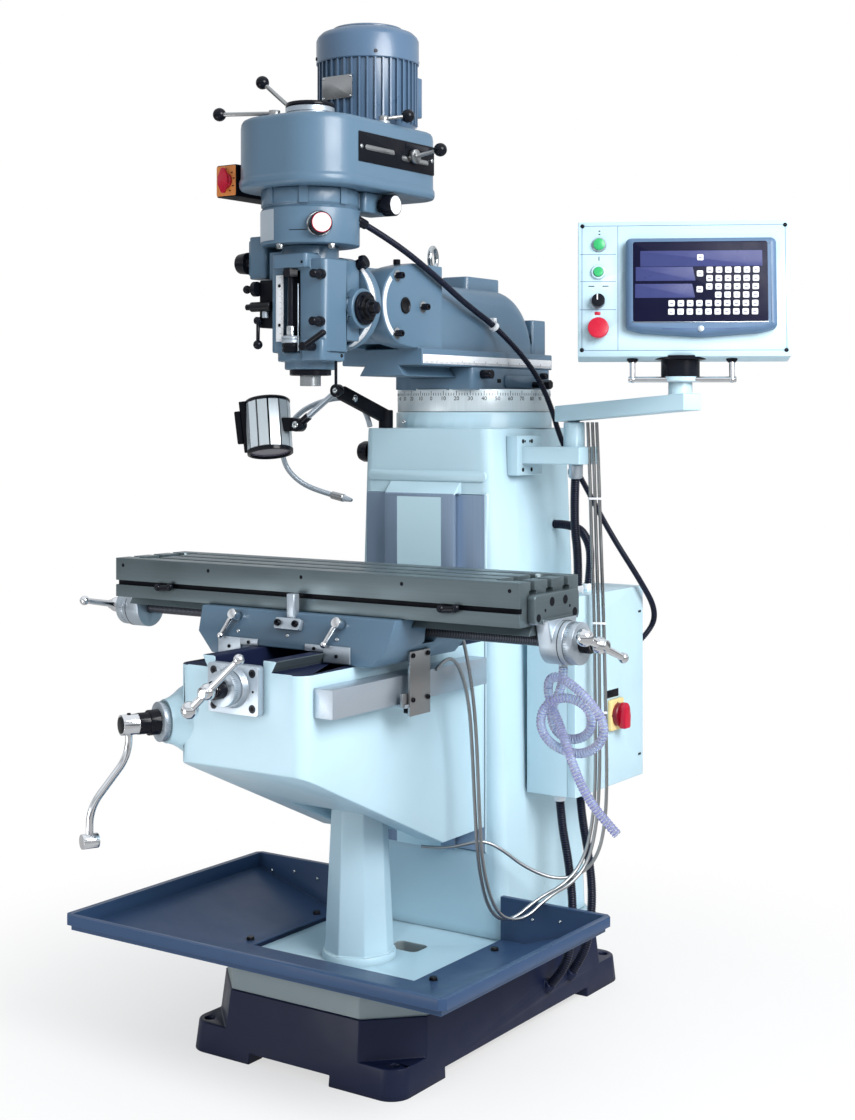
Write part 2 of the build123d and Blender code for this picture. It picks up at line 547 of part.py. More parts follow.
def table_end_bracket(side):
    """A bracket on one end of the table with the screw's bearing hub."""
    plate = slab(sorted((side * TABLE_X, side * (TABLE_X + 18))), (-402, -228), (962, 1020))
    plate = fillet(plate.edges().filter_by(Axis.X), 10)
    neck = [(-372, 970), (TABLE_Y - HUB_R, TABLE_SCREW_Z), (TABLE_Y + HUB_R, TABLE_SCREW_Z), (-258, 970)]
    plate += along_x(neck, *sorted((side * TABLE_X, side * (TABLE_X + 30))))
    y, z = TABLE_Y, TABLE_SCREW_Z
    plate += bar((side * TABLE_X, y, z), (side * HUB_END, y, z), HUB_R)
    return plate - bar((side * (TABLE_X - 1), y, z), (side * (HUB_END + 1), y, z), TABLE_SCREW_R + FIT)


def table_end_brackets():
    """Both end brackets, with the coolant drain's spigot under the right one."""
    spigot = upright(*COOLANT_HOSE[0][:2], (COOLANT_HOSE[0][2], TABLE_SCREW_Z - 20), 9)
    spigot -= upright(*COOLANT_HOSE[0][:2], (COOLANT_HOSE[0][2] - 1, TABLE_SCREW_Z - 40), 6.5)
    return Compound(children=[table_end_bracket(-1), table_end_bracket(1) + spigot])


def table_screw():
    """The table's screw with a dial and a ball handle at each end."""
    screw = bar((-640, TABLE_Y, TABLE_SCREW_Z), (640, TABLE_Y, TABLE_SCREW_Z), TABLE_SCREW_R)
    for sx, slant in ((-1, 170), (1, 200)):
        screw += bar((sx * (HUB_END + 0.5), TABLE_Y, TABLE_SCREW_Z), (sx * 606, TABLE_Y, TABLE_SCREW_Z), 42)
        screw += bar((sx * 606, TABLE_Y, TABLE_SCREW_Z), (sx * 628, TABLE_Y, TABLE_SCREW_Z), 18)
        arm = (0, cos(radians(slant)) * -sx, sin(radians(slant)))
        screw += ball_handle((sx * 644, TABLE_Y, TABLE_SCREW_Z), arm, (sx, 0, 0))
    return screw


# Turret and ram
def turret_casting():
    """The turret: a graduated ring on the column and the dovetail slot for the ram."""
    turret = upright(0, TURRET_Y, (TURRET_SEAT + GAP, RING_TOP), TURRET_R)
    turret += upright(0, TURRET_Y, (COLUMN_TOP - 58, TURRET_SEAT + 1), SPIGOT_R)
    turret += rounded((-TURRET_X, TURRET_X), (TURRET_FRONT, TURRET_REAR), (RING_TOP - 1, TURRET_TOP), 12)
    turret -= along_y(dovetail(*RAM_WAY, GAP), TURRET_FRONT - 1, TURRET_REAR + 1)
    turret -= slab((-15, 15), (PINION_Y - 15, PINION_Y + 15), (PINION_Z - 14, RAM_WAY_Z + 1))
    return turret - bar((-1, PINION_Y, PINION_Z), (TURRET_X + 90, PINION_Y, PINION_Z), PINION_R + FIT)


def ram_pinion_shaft():
    """The shaft that racks the ram in and out, with a hexagon end."""
    shaft = bar((-12, PINION_Y, PINION_Z), (140, PINION_Y, PINION_Z), PINION_R)
    shaft += bar((-13, PINION_Y, PINION_Z), (13, PINION_Y, PINION_Z), 12)
    hexagon = Plane(origin=(138, PINION_Y, PINION_Z), z_dir=(1, 0, 0)) * RegularPolygon(11, 6)
    return shaft + extrude(hexagon, amount=24)


def fork_cheeks():
    """The fork at the ram's front: rounded about the nod pivot, with straight flanks behind."""
    reach, angle = FORK_R, radians(80)
    low = (NOD_Y - reach * cos(angle), NOD_Z - reach * sin(angle))
    high = (low[0], NOD_Z + reach * sin(angle))
    flank = [high, (NOD_Y + 30, FORK_TOP), (FORK_REAR, FORK_TOP), (FORK_REAR, RAM_PLATE)]
    flank += [(NOD_Y + 30, RAM_PLATE), low]
    nose = ThreePointArc(low, (NOD_Y - reach, NOD_Z), high)
    face = make_face([Polyline(*flank), nose])
    return extrude(Plane.YZ.offset(-FORK_X) * face, amount=2 * FORK_X)


def ram_hump():
    """The ram's rounded back: a level crown that falls away in a quarter round to the rear plate."""
    side = [(FORK_REAR - 5, RAM_PLATE - 1), (FORK_REAR - 5, 1664), (240, 1664)]
    front = Polyline((390, RAM_PLATE - 1), *side)
    fall = ThreePointArc((240, 1664), (345, 1620), (390, RAM_PLATE - 1))
    hump = extrude(Plane.YZ.offset(-88) * make_face([front, fall]), amount=176)
    crown = [e for e in hump.edges() if e.center().Z > RAM_PLATE + 20 and abs(abs(e.center().X) - 88) < 1]
    crown = [e for e in crown if e.center().Y > FORK_REAR]
    return fillet(crown, 40)


def ram_casting():
    """The ram: a dovetail slide with the fork, the pivot pin, the hump and the rear plate."""
    ram = slab((-TURRET_X, TURRET_X), (RAM_FRONT, RAM_REAR), (TURRET_TOP + GAP, RAM_PLATE))
    ram += along_y(dovetail(*RAM_WAY), RAM_FRONT, RAM_REAR)
    ram += ram_hump()
    ram += rounded((-38, 38), (150, 300), (1600, 1695), 14)
    ram += rounded((-88, 88), (370, 435), (RAM_PLATE - 1, 1600), 10)
    fork = fork_cheeks() - slab((-FORK_SLOT, FORK_SLOT), (-320, -100), (RAM_PLATE - 1, FORK_TOP + 1))
    pin = bar((-FORK_X, NOD_Y, NOD_Z), (FORK_X, NOD_Y, NOD_Z), NOD_R)
    return ram + fork + pin


def lifting_eye():
    """The lifting eye on the ram's crown, its ring screwed home a little off square."""
    eye = Pos(0, EYE_Y, EYE_Z) * Rot(0, 0, EYE_TURN) * Rot(0, 90, 0) * Torus(EYE_R, EYE_WIRE_R)
    foot = upright(0, EYE_Y, (1664, 1678), 20)
    return eye + foot + upright(0, EYE_Y, (1676, EYE_Z - EYE_R), 11)


def head_adapter():
    """The knuckle between ram and head: a tongue that nods in the fork and the head's swivel flange."""
    half = FORK_SLOT - 0.5
    knuckle = bar((-half, NOD_Y, NOD_Z), (half, NOD_Y, NOD_Z), TONGUE_R)
    knuckle += slab((-half, half), (FLANGE_Y + 12, NOD_Y), (NOD_Z - 66, NOD_Z + 66))
    knuckle += bar((0, FLANGE_Y + 20, NOD_Z), (0, FLANGE_Y, NOD_Z), FLANGE_R)
    knuckle += bar((0, FLANGE_Y + 1, NOD_Z), (0, FLANGE_Y - 22, NOD_Z), SPIGOT_R)
    return knuckle - bar((-half - 1, NOD_Y, NOD_Z), (half + 1, NOD_Y, NOD_Z), NOD_R + FIT)


# Head
def head_casting():
    """The head: the quill's cylinder with its front lands, the feed boss and the swivel flange."""
    head = upright(0, SPINDLE_Y, (1480, HEAD_TOP), HEAD_R)
    head += upright(0, SPINDLE_Y, (HEAD_LOW, 1481), 54)
    head += upright(0, SPINDLE_Y, (1480, 1499), 68)
    head += rounded((-58, HEAD_X + 12), (HEAD_FACE, SPINDLE_Y + 20), (1498, 1690), 14)
    head += rounded((30, HEAD_X + 10), (HEAD_FACE - 8, SPINDLE_Y + 10), (1480, 1524), 8)
    head += rounded((-40, 50), (-478, SPINDLE_Y), (1672, 1702), 8)
    head += rounded((-HEAD_X, HEAD_X), (SPINDLE_Y - 10, HEAD_FLANGE_Y + 1), (1524, 1692), 12)
    head += slab((-78, 0), (-440, -372), (1562, 1712))
    head += bar((0, FLANGE_Y - GAP, NOD_Z), (0, HEAD_FLANGE_Y, NOD_Z), FLANGE_R)
    head += bar((40, FEED_Y, FEED_Z), (FEED_FACE, FEED_Y, FEED_Z), 42)
    head -= slab((-22, 22), (HEAD_FACE - 1, HEAD_FACE + 16), (1526, 1668))
    head -= upright(0, SPINDLE_Y, (HEAD_LOW - 1, HEAD_TOP + 1), QUILL_R + FIT)
    head -= bar((0, FLANGE_Y + 1, NOD_Z), (0, FLANGE_Y - 24, NOD_Z), SPIGOT_R + FIT)
    return head - bar((-34, FEED_Y, FEED_Z), (140, FEED_Y, FEED_Z), FEED_R + FIT)


def feed_gearbox():
    """The quill-feed gearbox on the head's left side, with its two round covers."""
    box = rounded((-132, -78), (-445, -372), (1557, HEAD_TOP - 1), 12)
    box += bar((-106, -440, 1598), (-106, -462, 1598), 24)
    return box + bar((-104, -440, 1650), (-104, -458, 1650), 26)


def gear_housing():
    """The back-gear housing: a drum in two steps with the clutch box at its rear right."""
    drum = [(0, HEAD_TOP), (GEAR_R, HEAD_TOP), (GEAR_R, 1797), (99, 1799), (99, 1803), (102, 1805)]
    drum += [(102, GEAR_TOP), (0, GEAR_TOP)]
    housing = turned(drum, 0, SPINDLE_Y)
    housing += rounded((40, 100), (-340, -240), (1795, GEAR_TOP), 8)
    housing -= upright(0, SPINDLE_Y, (HEAD_TOP + 10, GEAR_TOP - 10), 88)
    housing -= upright(0, SPINDLE_Y, (HEAD_TOP - 1, GEAR_TOP + 1), SPINDLE_R + 2)
    return housing + gland(HEAD_CONDUIT[::-1], 28, 10)


def belt_plan(inset):
    """The belt housing's outline: wide rounded corners at the front, tighter ones behind."""
    x, y0, y1 = BELT_X - inset, BELT_FRONT + inset, BELT_BACK - inset
    face = outline([(-x, y0), (x, y0), (x, y1), (-x, y1)])
    face = fillet(face.vertices().group_by(Axis.Y)[0], BELT_ROUND_FRONT - inset)
    return fillet(face.vertices().group_by(Axis.Y)[-1], BELT_ROUND_BACK - inset)


def belt_housing():
    """The hollow belt housing, with the spindle's upper bearing cap and the motor's opening."""
    height = BELT_TOP - GEAR_TOP
    housing = extrude(Plane.XY.offset(GEAR_TOP) * belt_plan(0), amount=height)
    housing += upright(0, SPINDLE_Y, (BELT_TOP - 1, 2004), 45)
    housing += upright(0, SPINDLE_Y, (2003, 2028), 52)
    floor = Plane.XY.offset(GEAR_TOP + BELT_WALL)
    housing -= extrude(floor * belt_plan(BELT_WALL), amount=height - 2 * BELT_WALL)
    housing -= upright(0, SPINDLE_Y, (GEAR_TOP - 1, 2016), SPINDLE_R + 8)
    return housing - upright(0, MOTOR_Y, (BELT_TOP - BELT_WALL - 1, BELT_TOP + 1), MOTOR_SHAFT_R + 6)


def fin_profile(count, outer, depth, share):
    """Corners of a finned cylinder's section: each fin takes a share of its pitch."""
    corners = []
    for fin in range(count):
        for part, radius in ((0, outer), (share, outer), (share, outer - depth), (1, outer - depth)):
            turn = 2 * pi * (fin + part) / count
            corners.append((radius * cos(turn), radius * sin(turn)))
    return corners


def motor():
    """The motor: a flange, a finned body and a separate fan cover."""
    body = Pos(0, MOTOR_Y, 0) * along_z(fin_profile(40, MOTOR_R, 8, 0.45), 2002, MOTOR_TOP)
    body += upright(0, MOTOR_Y, (BELT_TOP, 2003), 104)
    body -= upright(0, MOTOR_Y, (BELT_TOP - 1, 2120), MOTOR_SHAFT_R + FIT)
    dome = [(0, MOTOR_TOP), (COVER_R, MOTOR_TOP), (COVER_R, 2190), (102, 2203), (76, 2213)]
    dome += [(60, MACHINE_TOP), (0, MACHINE_TOP)]
    return Compound(children=[body, turned(dome, 0, MOTOR_Y)])


def pulley(radii, bore, x, y):
    """A cone pulley of four V-groove steps, from the lowest step up."""
    profile = [(bore, PULLEY_LOW)]
    for step, radius in enumerate(radii):
        z, lip = PULLEY_LOW + step * PULLEY_STEP, radius + PULLEY_LIP
        profile += [(lip, z), (lip, z + 5), (radius, z + 8), (radius, z + 20), (lip, z + 23)]
        profile.append((lip, z + PULLEY_STEP))
    profile.append((bore, PULLEY_LOW + len(radii) * PULLEY_STEP))
    return turned(profile, x, y)


def spindle_pulley():
    """The cone pulley that the spindle's spline slides through."""
    return pulley(PULLEY_RADII, SPINDLE_R + FIT, 0, SPINDLE_Y)


def motor_pulley():
    """The motor's cone pulley on the motor shaft."""
    cone = pulley(PULLEY_RADII[::-1], MOTOR_SHAFT_R - 1, 0, MOTOR_Y)
    return cone + upright(0, MOTOR_Y, (PULLEY_LOW - 5, 2110), MOTOR_SHAFT_R)


def belt_loop(spread):
    """The flat outline of the belt: two circles and their outer tangents, drawn out by a spread."""
    spindle, motor_side = PULLEY_RADII[BELT_STEP] + spread, PULLEY_RADII[::-1][BELT_STEP] + spread
    lean = acos((spindle - motor_side) / (MOTOR_Y - SPINDLE_Y))
    tangents = []
    for y, radius in ((SPINDLE_Y, spindle), (MOTOR_Y, motor_side)):
        tangents.append((radius * sin(lean), y + radius * cos(lean)))
    corners = tangents + [(-x, y) for x, y in reversed(tangents)]
    return outline(corners) + Pos(0, SPINDLE_Y) * Circle(spindle) + Pos(0, MOTOR_Y) * Circle(motor_side)


def drive_belt():
    """The belt on the second step of the two pulleys."""
    low = PULLEY_LOW + BELT_STEP * PULLEY_STEP + 9
    return extrude(Plane.XY.offset(low) * (belt_loop(6) - belt_loop(GAP)), amount=10)


def quill():
    """The quill that slides in the head and carries the spindle."""
    sleeve = upright(0, SPINDLE_Y, (QUILL_LOW, QUILL_TOP), QUILL_R)
    return sleeve - upright(0, SPINDLE_Y, (QUILL_LOW - 1, QUILL_TOP + 1), SPINDLE_R + FIT)


def spindle():
    """The spindle: a nose with its collet bore and a long shaft up through the pulley."""
    shaft = upright(0, SPINDLE_Y, (QUILL_LOW - 1, SPINDLE_TOP), SPINDLE_R)
    shaft += upright(0, SPINDLE_Y, (SPINDLE_LOW, QUILL_LOW - GAP), NOSE_R)
    shaft -= upright(0, SPINDLE_Y, (SPINDLE_LOW - 1, NOSE_BORE_TOP), NOSE_BORE)
    return shaft - upright(0, SPINDLE_Y, (NOSE_BORE_TOP - 1, SPINDLE_TOP + 1), 6.5)


def quill_feed_hub():
    """The quill-feed pinion shaft with the black hub that its handle fits on."""
    hub = bar((-32, FEED_Y, FEED_Z), (FEED_FACE + 34, FEED_Y, FEED_Z), FEED_R)
    for start, end, radius in ((GAP, 7, 35), (7, 14, 26), (14, 21, 20), (21, 34, 13)):
        hub += bar((FEED_FACE + start, FEED_Y, FEED_Z), (FEED_FACE + end, FEED_Y, FEED_Z), radius)
    return hub


def quill_lock_lever():
    """The lever that clamps the quill."""
    lever = bar((63, HEAD_FACE - 8 - GAP, 1508), (63, HEAD_FACE - 24, 1508), 11)
    lever += bar((63, HEAD_FACE - 18, 1508), (108, HEAD_FACE - 24, 1534), 5)
    return lever + ball((108, HEAD_FACE - 24, 1534), 9, (45, -6, 26))


def feed_lever():
    """The feed-trip lever at the gearbox's lower front."""
    lever = bar((-96, -445 - GAP, 1567), (-96, -460, 1567), 8)
    lever += bar((-96, -454, 1567), (-90, -462, 1520), 4)
    return lever + ball((-90, -462, 1516), 10, (0, 0, 1))


def fine_feed_knob():
    """The fine-feed knob on the gearbox's left side."""
    knob = bar((-132 - GAP, -425, 1692), (-144, -425, 1692), 12)
    return knob + bar((-144, -425, 1692), (-170, -425, 1692), 24, 21)


def back_gear_knob():
    """The back-gear knob on the drum's front right, with a pale face."""
    turn = radians(48)
    out = Vector(sin(turn), -cos(turn), 0)
    root = Vector(0, SPINDLE_Y, 1760)
    knob = bar(root + out * (GEAR_R + GAP + 0.2), root + out * 112, 14)
    return knob + bar(root + out * 112, root + out * 132, 23, 22)


def clutch_knob():
    """The clutch knob on the side of the clutch box."""
    knob = bar((100 + GAP, -285, 1812), (112, -285, 1812), 14)
    return knob + bar((112, -285, 1812), (140, -285, 1812), 23, 22)


def top_lever(root, tip, hub_r):
    """A ball lever that turns on a short post on top of the belt housing."""
    lever = upright(root[0], root[1], (BELT_TOP + GAP, root[2] + 6), hub_r)
    lever += bar(root, tip, 4.5)
    return lever + ball(tip, 13, Vector(*tip) - Vector(*root))


def belt_tension_lever():
    """The lever in the belt housing's side slot that tensions the belt."""
    lever = bar((BELT_X + GAP, -227, 1921), (BELT_X + 12, -227, 1921), 15)
    lever += bar((BELT_X + 10, -227, 1921), (200, -205, 1934), 4.5)
    return lever + ball((200, -205, 1934), 12, (47, 22, 13))


def drum_switch_box():
    """The motor's drum switch on the belt housing's left side."""
    box = rounded((-199, -BELT_X), (DRUM_FRONT, DRUM_BACK), (DRUM_Z - 34, DRUM_Z + 34), 6)
    return box - bar((DRUM_X, DRUM_FRONT + 40, DRUM_Z), (DRUM_X, DRUM_FRONT - 1, DRUM_Z), 6 + FIT)


def drum_switch_knob():
    """The drum switch's pointer knob."""
    knob = bar((DRUM_X, DRUM_FRONT + 35, DRUM_Z), (DRUM_X, DRUM_FRONT - 8, DRUM_Z), 6)
    knob += bar((DRUM_X, DRUM_FRONT - GAP, DRUM_Z), (DRUM_X, DRUM_FRONT - 10, DRUM_Z), 18)
    return knob + slab((DRUM_X - 5, DRUM_X + 5), (DRUM_FRONT - 24, DRUM_FRONT - 9), (DRUM_Z - 18, DRUM_Z + 18))


# Pendant and cabinet
def pendant_bracket():
    """The bracket on the column's right side with the pendant arm's post."""
    bracket = slab((150, 215), (89, 197), (1230, 1321))
    bracket += slab((200, 366), (104, 192), (ARM_LOW, ARM_LOW + 39))
    bracket = bracket - column_body(0, PAD_TOP, COLUMN_TOP)
    bracket += upright(POST_X, POST_Y, (ARM_LOW + 30, POST_TOP), POST_R)
    bracket += upright(POST_X, POST_Y, (POST_TOP - 1, POST_TOP + 30), 12)
    return bracket + gland(CABINET_CONDUITS[0][::-1], 34, GLAND_R + 2)


def pendant_arm():
    """The swinging arm, rising from its post to the pendant's swivel."""
    end, rise = ARM_LENGTH + 34, POST_TOP + ARM_RISE
    side = [(-34, POST_TOP + GAP), (end, rise), (end, rise + ARM_HEIGHT), (-34, POST_TOP + ARM_HEIGHT)]
    face = Plane(origin=(0, ARM_WIDTH / 2, 0), x_dir=(1, 0, 0), z_dir=(0, -1, 0)) * outline(side)
    arm = Pos(POST_X, POST_Y, 0) * Rot(0, 0, ARM_ANGLE) * extrude(face, amount=ARM_WIDTH)
    arm -= upright(POST_X, POST_Y, (POST_TOP - 1, POST_TOP + 30 + GAP), 12 + FIT)
    arm += upright(SWIVEL_X, SWIVEL_Y, (rise + 10, SWIVEL_Z), 25.5)
    return arm + upright(SWIVEL_X, SWIVEL_Y, (SWIVEL_Z - 1, SWIVEL_Z + 28), 12)


def panel_plane():
    """The pendant face's own frame: X to the right, Y up the face, Z out of it."""
    turn, tilt = radians(PANEL_ANGLE), radians(PANEL_TILT)
    right = (cos(turn), sin(turn), 0)
    out = (sin(turn) * cos(tilt), -cos(turn) * cos(tilt), sin(tilt))
    return Plane(origin=PANEL_CENTRE, x_dir=right, z_dir=out)


def panel_bar(x, y, z, radius):
    """A round bar square to the pendant's face."""
    return panel_plane() * bar((x, y, z[0]), (x, y, z[1]), radius)


def pendant_box():
    """The pendant's sheet enclosure with its swivel foot and handle."""
    half_w, half_h = PANEL_W / 2, PANEL_H / 2
    box = panel_plane() * slab((-half_w, half_w), (-half_h, half_h), (-PANEL_D, 0))
    box += upright(SWIVEL_X, SWIVEL_Y, (SWIVEL_Z + GAP, 1500), 40)
    box -= panel_plane() * slab((3 - half_w, half_w - 3), (3 - half_h, half_h - 3), (3 - PANEL_D, -3))
    box -= upright(SWIVEL_X, SWIVEL_Y, (SWIVEL_Z, SWIVEL_Z + 28 + GAP), 12 + FIT)
    for place, radius in (("start", 10), ("selector", 5), ("stop", 8)):
        box -= panel_bar(BUTTON_X, BUTTON_Y[place], (-PANEL_D / 2, 1), radius + FIT)
    ring = panel_bar(BUTTON_X, BUTTON_Y["start"], (-1, 6), 15)
    return box + ring - panel_bar(BUTTON_X, BUTTON_Y["start"], (-2, 7), 10 + FIT)


def dro_display():
    """The digital readout's case on the pendant's face."""
    case = slab((-122.5, 193.5), (-102.5, 105.5), (0, 30))
    case = fillet(case.edges().filter_by(Axis.Z), 14)
    return panel_plane() * chamfer(case.faces().sort_by(Axis.Z)[-1].edges(), 6)


def start_button():
    """The start button, pressed along the face's normal."""
    return panel_bar(BUTTON_X, BUTTON_Y["start"], (-14, 9), 10)


def selector_knob():
    """The selector's turning knob."""
    knob = panel_bar(BUTTON_X, BUTTON_Y["selector"], (-14, 5), 5)
    return knob + panel_bar(BUTTON_X, BUTTON_Y["selector"], (GAP, 22), 14)


def stop_button():
    """The mushroom stop button."""
    button = panel_bar(BUTTON_X, BUTTON_Y["stop"], (-14, 14), 8)
    return button + panel_bar(BUTTON_X, BUTTON_Y["stop"], (12, 28), 22)


def cabinet_box():
    """The cabinet's shell, open towards its door, on two rails shaped to the column."""
    x, y, z = CABINET["x"], CABINET["y"], CABINET["z"]
    shell = slab(x, y, z) - slab((x[0] + 3, x[1] + 1), (y[0] + 3, y[1] - 3), (z[0] + 3, z[1] - 3))
    for low in (560, 880):
        shell += slab((150, x[0] + 1), (180, 380), (low, low + 40)) - column_body(0, PAD_TOP, COLUMN_TOP)
    for points in CABINET_CONDUITS[:2] + [points[::-1] for points in CABINET_CONDUITS[2:]]:
        shell += gland(points, 7)
    return shell + gland(HEAD_CONDUIT, 14, 8)


def cabinet_door():
    """The cabinet's folded door with its two hinge barrels and the main switch's hole."""
    x, y, z = CABINET["x"][1] + GAP, CABINET["y"], CABINET["z"]
    door = slab((x, x + DOOR_THICK), y, z)
    door -= slab((x - 1, x + DOOR_THICK - 3), (y[0] + 3, y[1] - 3), (z[0] + 3, z[1] - 3))
    for low in HINGE_LOWS:
        door += bar((x + DOOR_THICK, y[0], low), (x + DOOR_THICK, y[0], low + HINGE_LONG), HINGE_R)
    return door - bar((x, *SWITCH_YZ), (x + DOOR_THICK + 1, *SWITCH_YZ), 8 + FIT)


def main_switch_knob():
    """The main switch's knob through the cabinet door."""
    face = CABINET["x"][1] + GAP + DOOR_THICK
    knob = bar((face - 20, *SWITCH_YZ), (face + 12, *SWITCH_YZ), 8)
    knob += bar((face + 10, *SWITCH_YZ), (face + 22, *SWITCH_YZ), 30)
    y, z = SWITCH_YZ
    return knob + slab((face + 20, face + 40), (y - 8, y + 8), (z - 29, z + 29))


# Lamp and coolant
def lamp_bracket():
    """The lamp's swivelling bracket on the column's top."""
    bracket = upright(*LAMP_FOOT, (COLUMN_TOP + GAP, 1376), 14)
    bracket += bar((*LAMP_FOOT, 1364), KNUCKLE_UP, 12, 11)
    bracket -= upright(*LAMP_FOOT, (COLUMN_TOP, COLUMN_TOP + 30 + GAP), LAMP_PIN_R + FIT)
    x, y, z = KNUCKLE_UP
    bracket -= slab((x - 40, x + 40), (y - 20, y + 6), (z - 40, z + 40))
    return bracket + bar((x, y + 8, z), (x, y - 12, z), 6)


def lamp_arm():
    """The lamp's rod between its two knuckles."""
    (x0, y0, z0), (x1, y1, z1) = KNUCKLE_UP, KNUCKLE_LOW
    arm = bar((x0, y0 + 5.5, z0), (x0, y0 - 10, z0), 15)
    arm += bar((x0, y0 - 2, z0), (x1, y1, z1), 7)
    arm += bar((x1, y1 + 8, z1), (x1, y1 - 8, z1), 13)
    arm -= bar((x1, y1 + 9, z1), (x1, y1 - 9, z1), 6 + FIT)
    return arm - bar((x0, y0 + 8, z0), (x0, y0 - 13, z0), 6 + FIT)


def lamp_head():
    """The lamp: a ribbed drum with caps and its switch box, hung on a forked lug."""
    x1, y1, z1 = KNUCKLE_LOW
    drum = Pos(LAMP_X, LAMP_Y, 0) * along_z(fin_profile(12, LAMP_R, 3, 0.75), LAMP_LOW + 12, LAMP_TOP - 6)
    drum += upright(LAMP_X, LAMP_Y, (LAMP_TOP - 7, LAMP_TOP), LAMP_R - 2)
    drum += upright(LAMP_X, LAMP_Y, (LAMP_LOW, LAMP_LOW + 13), LAMP_R + 1)
    drum -= bar((LAMP_X, LAMP_Y, LAMP_LOW - 1), (LAMP_X, LAMP_Y, LAMP_LOW + 24), LAMP_R - 6, 30)
    drum += slab((LAMP_X - LAMP_R - 14, LAMP_X - LAMP_R + 8), (LAMP_Y - 24, LAMP_Y + 24), (1308, 1378))
    for side in (-1, 1):
        y = sorted((y1 + side * (8 + GAP), y1 + side * 14))
        drum += slab((LAMP_X + LAMP_R - 12, x1), y, (z1 - 11, z1 + 11))
        drum += bar((x1, y[0], z1), (x1, y[1], z1), 11)
    return drum + bar((x1, y1 + 12, z1), (x1, y1 - 12, z1), 6)


def coolant_gooseneck():
    """The coolant's bendable pipe with its nozzle."""
    tip, before = Vector(*GOOSENECK[-1]), Vector(*GOOSENECK[-2])
    along = (tip - before).normalized()
    pipe = cord(GOOSENECK, GOOSENECK_R) + bar(tip - along * 44, tip - along * 8, 9)
    return pipe + bar(tip - along * 9, tip + along * 14, 8, 5)


# Cables
def head_conduit():
    """The ribbed conduit from the head along the ram to the cabinet's back."""
    return ribbed_hose(HEAD_CONDUIT, HEAD_HOSE, HEAD_RIBS, (1, 0, 0))


def machine_cables():
    """The cabinet's ribbed conduits and the three scale cables."""
    cables = [ribbed_hose(points, CABINET_HOSE, CABINET_RIBS, (0, 1, 0)) for points in CABINET_CONDUITS]
    return Compound(children=cables + [cord(points, CABLE_R) for points in SCALE_CABLES])


def coolant_hose():
    """The clear ribbed drain hose that hangs in two loose turns from the table's right end."""
    return ribbed_hose(COOLANT_HOSE, DRAIN_HOSE, DRAIN_RIBS, (0, 1, 0))


PIECES = {
    "base_casting": base_casting,
    "chip_tray": chip_tray,
    "column_casting": column_casting,
    "knee_screw_pedestal": knee_screw_pedestal,
    "knee_casting": knee_casting,
    "elevating_screw": elevating_screw,
    "knee_crank": knee_crank,
    "cross_screw_bracket": cross_screw_bracket,
    "cross_feed_screw": cross_feed_screw,
    "cross_scale": cross_scale,
    "saddle_casting": saddle_casting,
    "table_lock_lever_left": lambda: table_lock_lever(-150),
    "table_lock_lever_right": lambda: table_lock_lever(126),
    "table": table,
    "table_end_brackets": table_end_brackets,
    "table_screw": table_screw,
    "turret_casting": turret_casting,
    "ram_pinion_shaft": ram_pinion_shaft,
    "ram_casting": ram_casting,
    "lifting_eye": lifting_eye,
    "head_adapter": head_adapter,
    "head_casting": head_casting,
    "feed_gearbox": feed_gearbox,
    "gear_housing": gear_housing,
    "belt_housing": belt_housing,
    "motor": motor,
    "spindle_pulley": spindle_pulley,
    "motor_pulley": motor_pulley,
    "drive_belt": drive_belt,
    "quill": quill,
    "spindle": spindle,
    "quill_feed_hub": quill_feed_hub,
    "quill_lock_lever": quill_lock_lever,
    "feed_lever": feed_lever,
    "fine_feed_knob": fine_feed_knob,
    "back_gear_knob": back_gear_knob,
    "clutch_knob": clutch_knob,
    "brake_lever": lambda: top_lever((-63, -440, 2003), (-206, -451, 2013), 12),
    "motor_lock_lever_left": lambda: top_lever((-64, -388, 2024), (-134, -394, 2083), 9),
    "motor_lock_lever_right": lambda: top_lever((112, -290, 1996), (143, -244, 2006), 10),
    "belt_tension_lever": belt_tension_lever,
    "drum_switch_box": drum_switch_box,
    "drum_switch_knob": drum_switch_knob,
    "pendant_bracket": pendant_bracket,
    "pendant_arm": pendant_arm,
    "pendant_box": pendant_box,
    "dro_display": dro_display,
    "start_button": start_button,
    "selector_knob": selector_knob,
    "stop_button": stop_button,
    "cabinet_box": cabinet_box,
    "cabinet_door": cabinet_door,
    "main_switch_knob": main_switch_knob,
    "lamp_bracket": lamp_bracket,
    "lamp_arm": lamp_arm,
    "lamp_head": lamp_head,
    "coolant_gooseneck": coolant_gooseneck,
    "head_conduit": head_conduit,
    "machine_cables": machine_cables,
    "coolant_hose": coolant_hose,
}

os.makedirs("parts", exist_ok=True)
for name, make in PIECES.items():
    piece = make()
    export_step(piece, f"parts/{name}.step")
    print(f"{name}: volume {piece.volume:.0f}")
report_cord("coolant_hose", COOLANT_HOSE, DRAIN_HOSE[0])
report_cord("head_conduit", HEAD_CONDUIT, HEAD_HOSE[0])
report_cord("gooseneck", GOOSENECK, GOOSENECK_R)
for number, points in enumerate(SCALE_CABLES, 1):
    report_cord(f"scale_cable {number}", points, CABLE_R)
for number, points in enumerate(CABINET_CONDUITS, 1):
    report_cord(f"cabinet_conduit {number}", points, CABINET_HOSE[0])
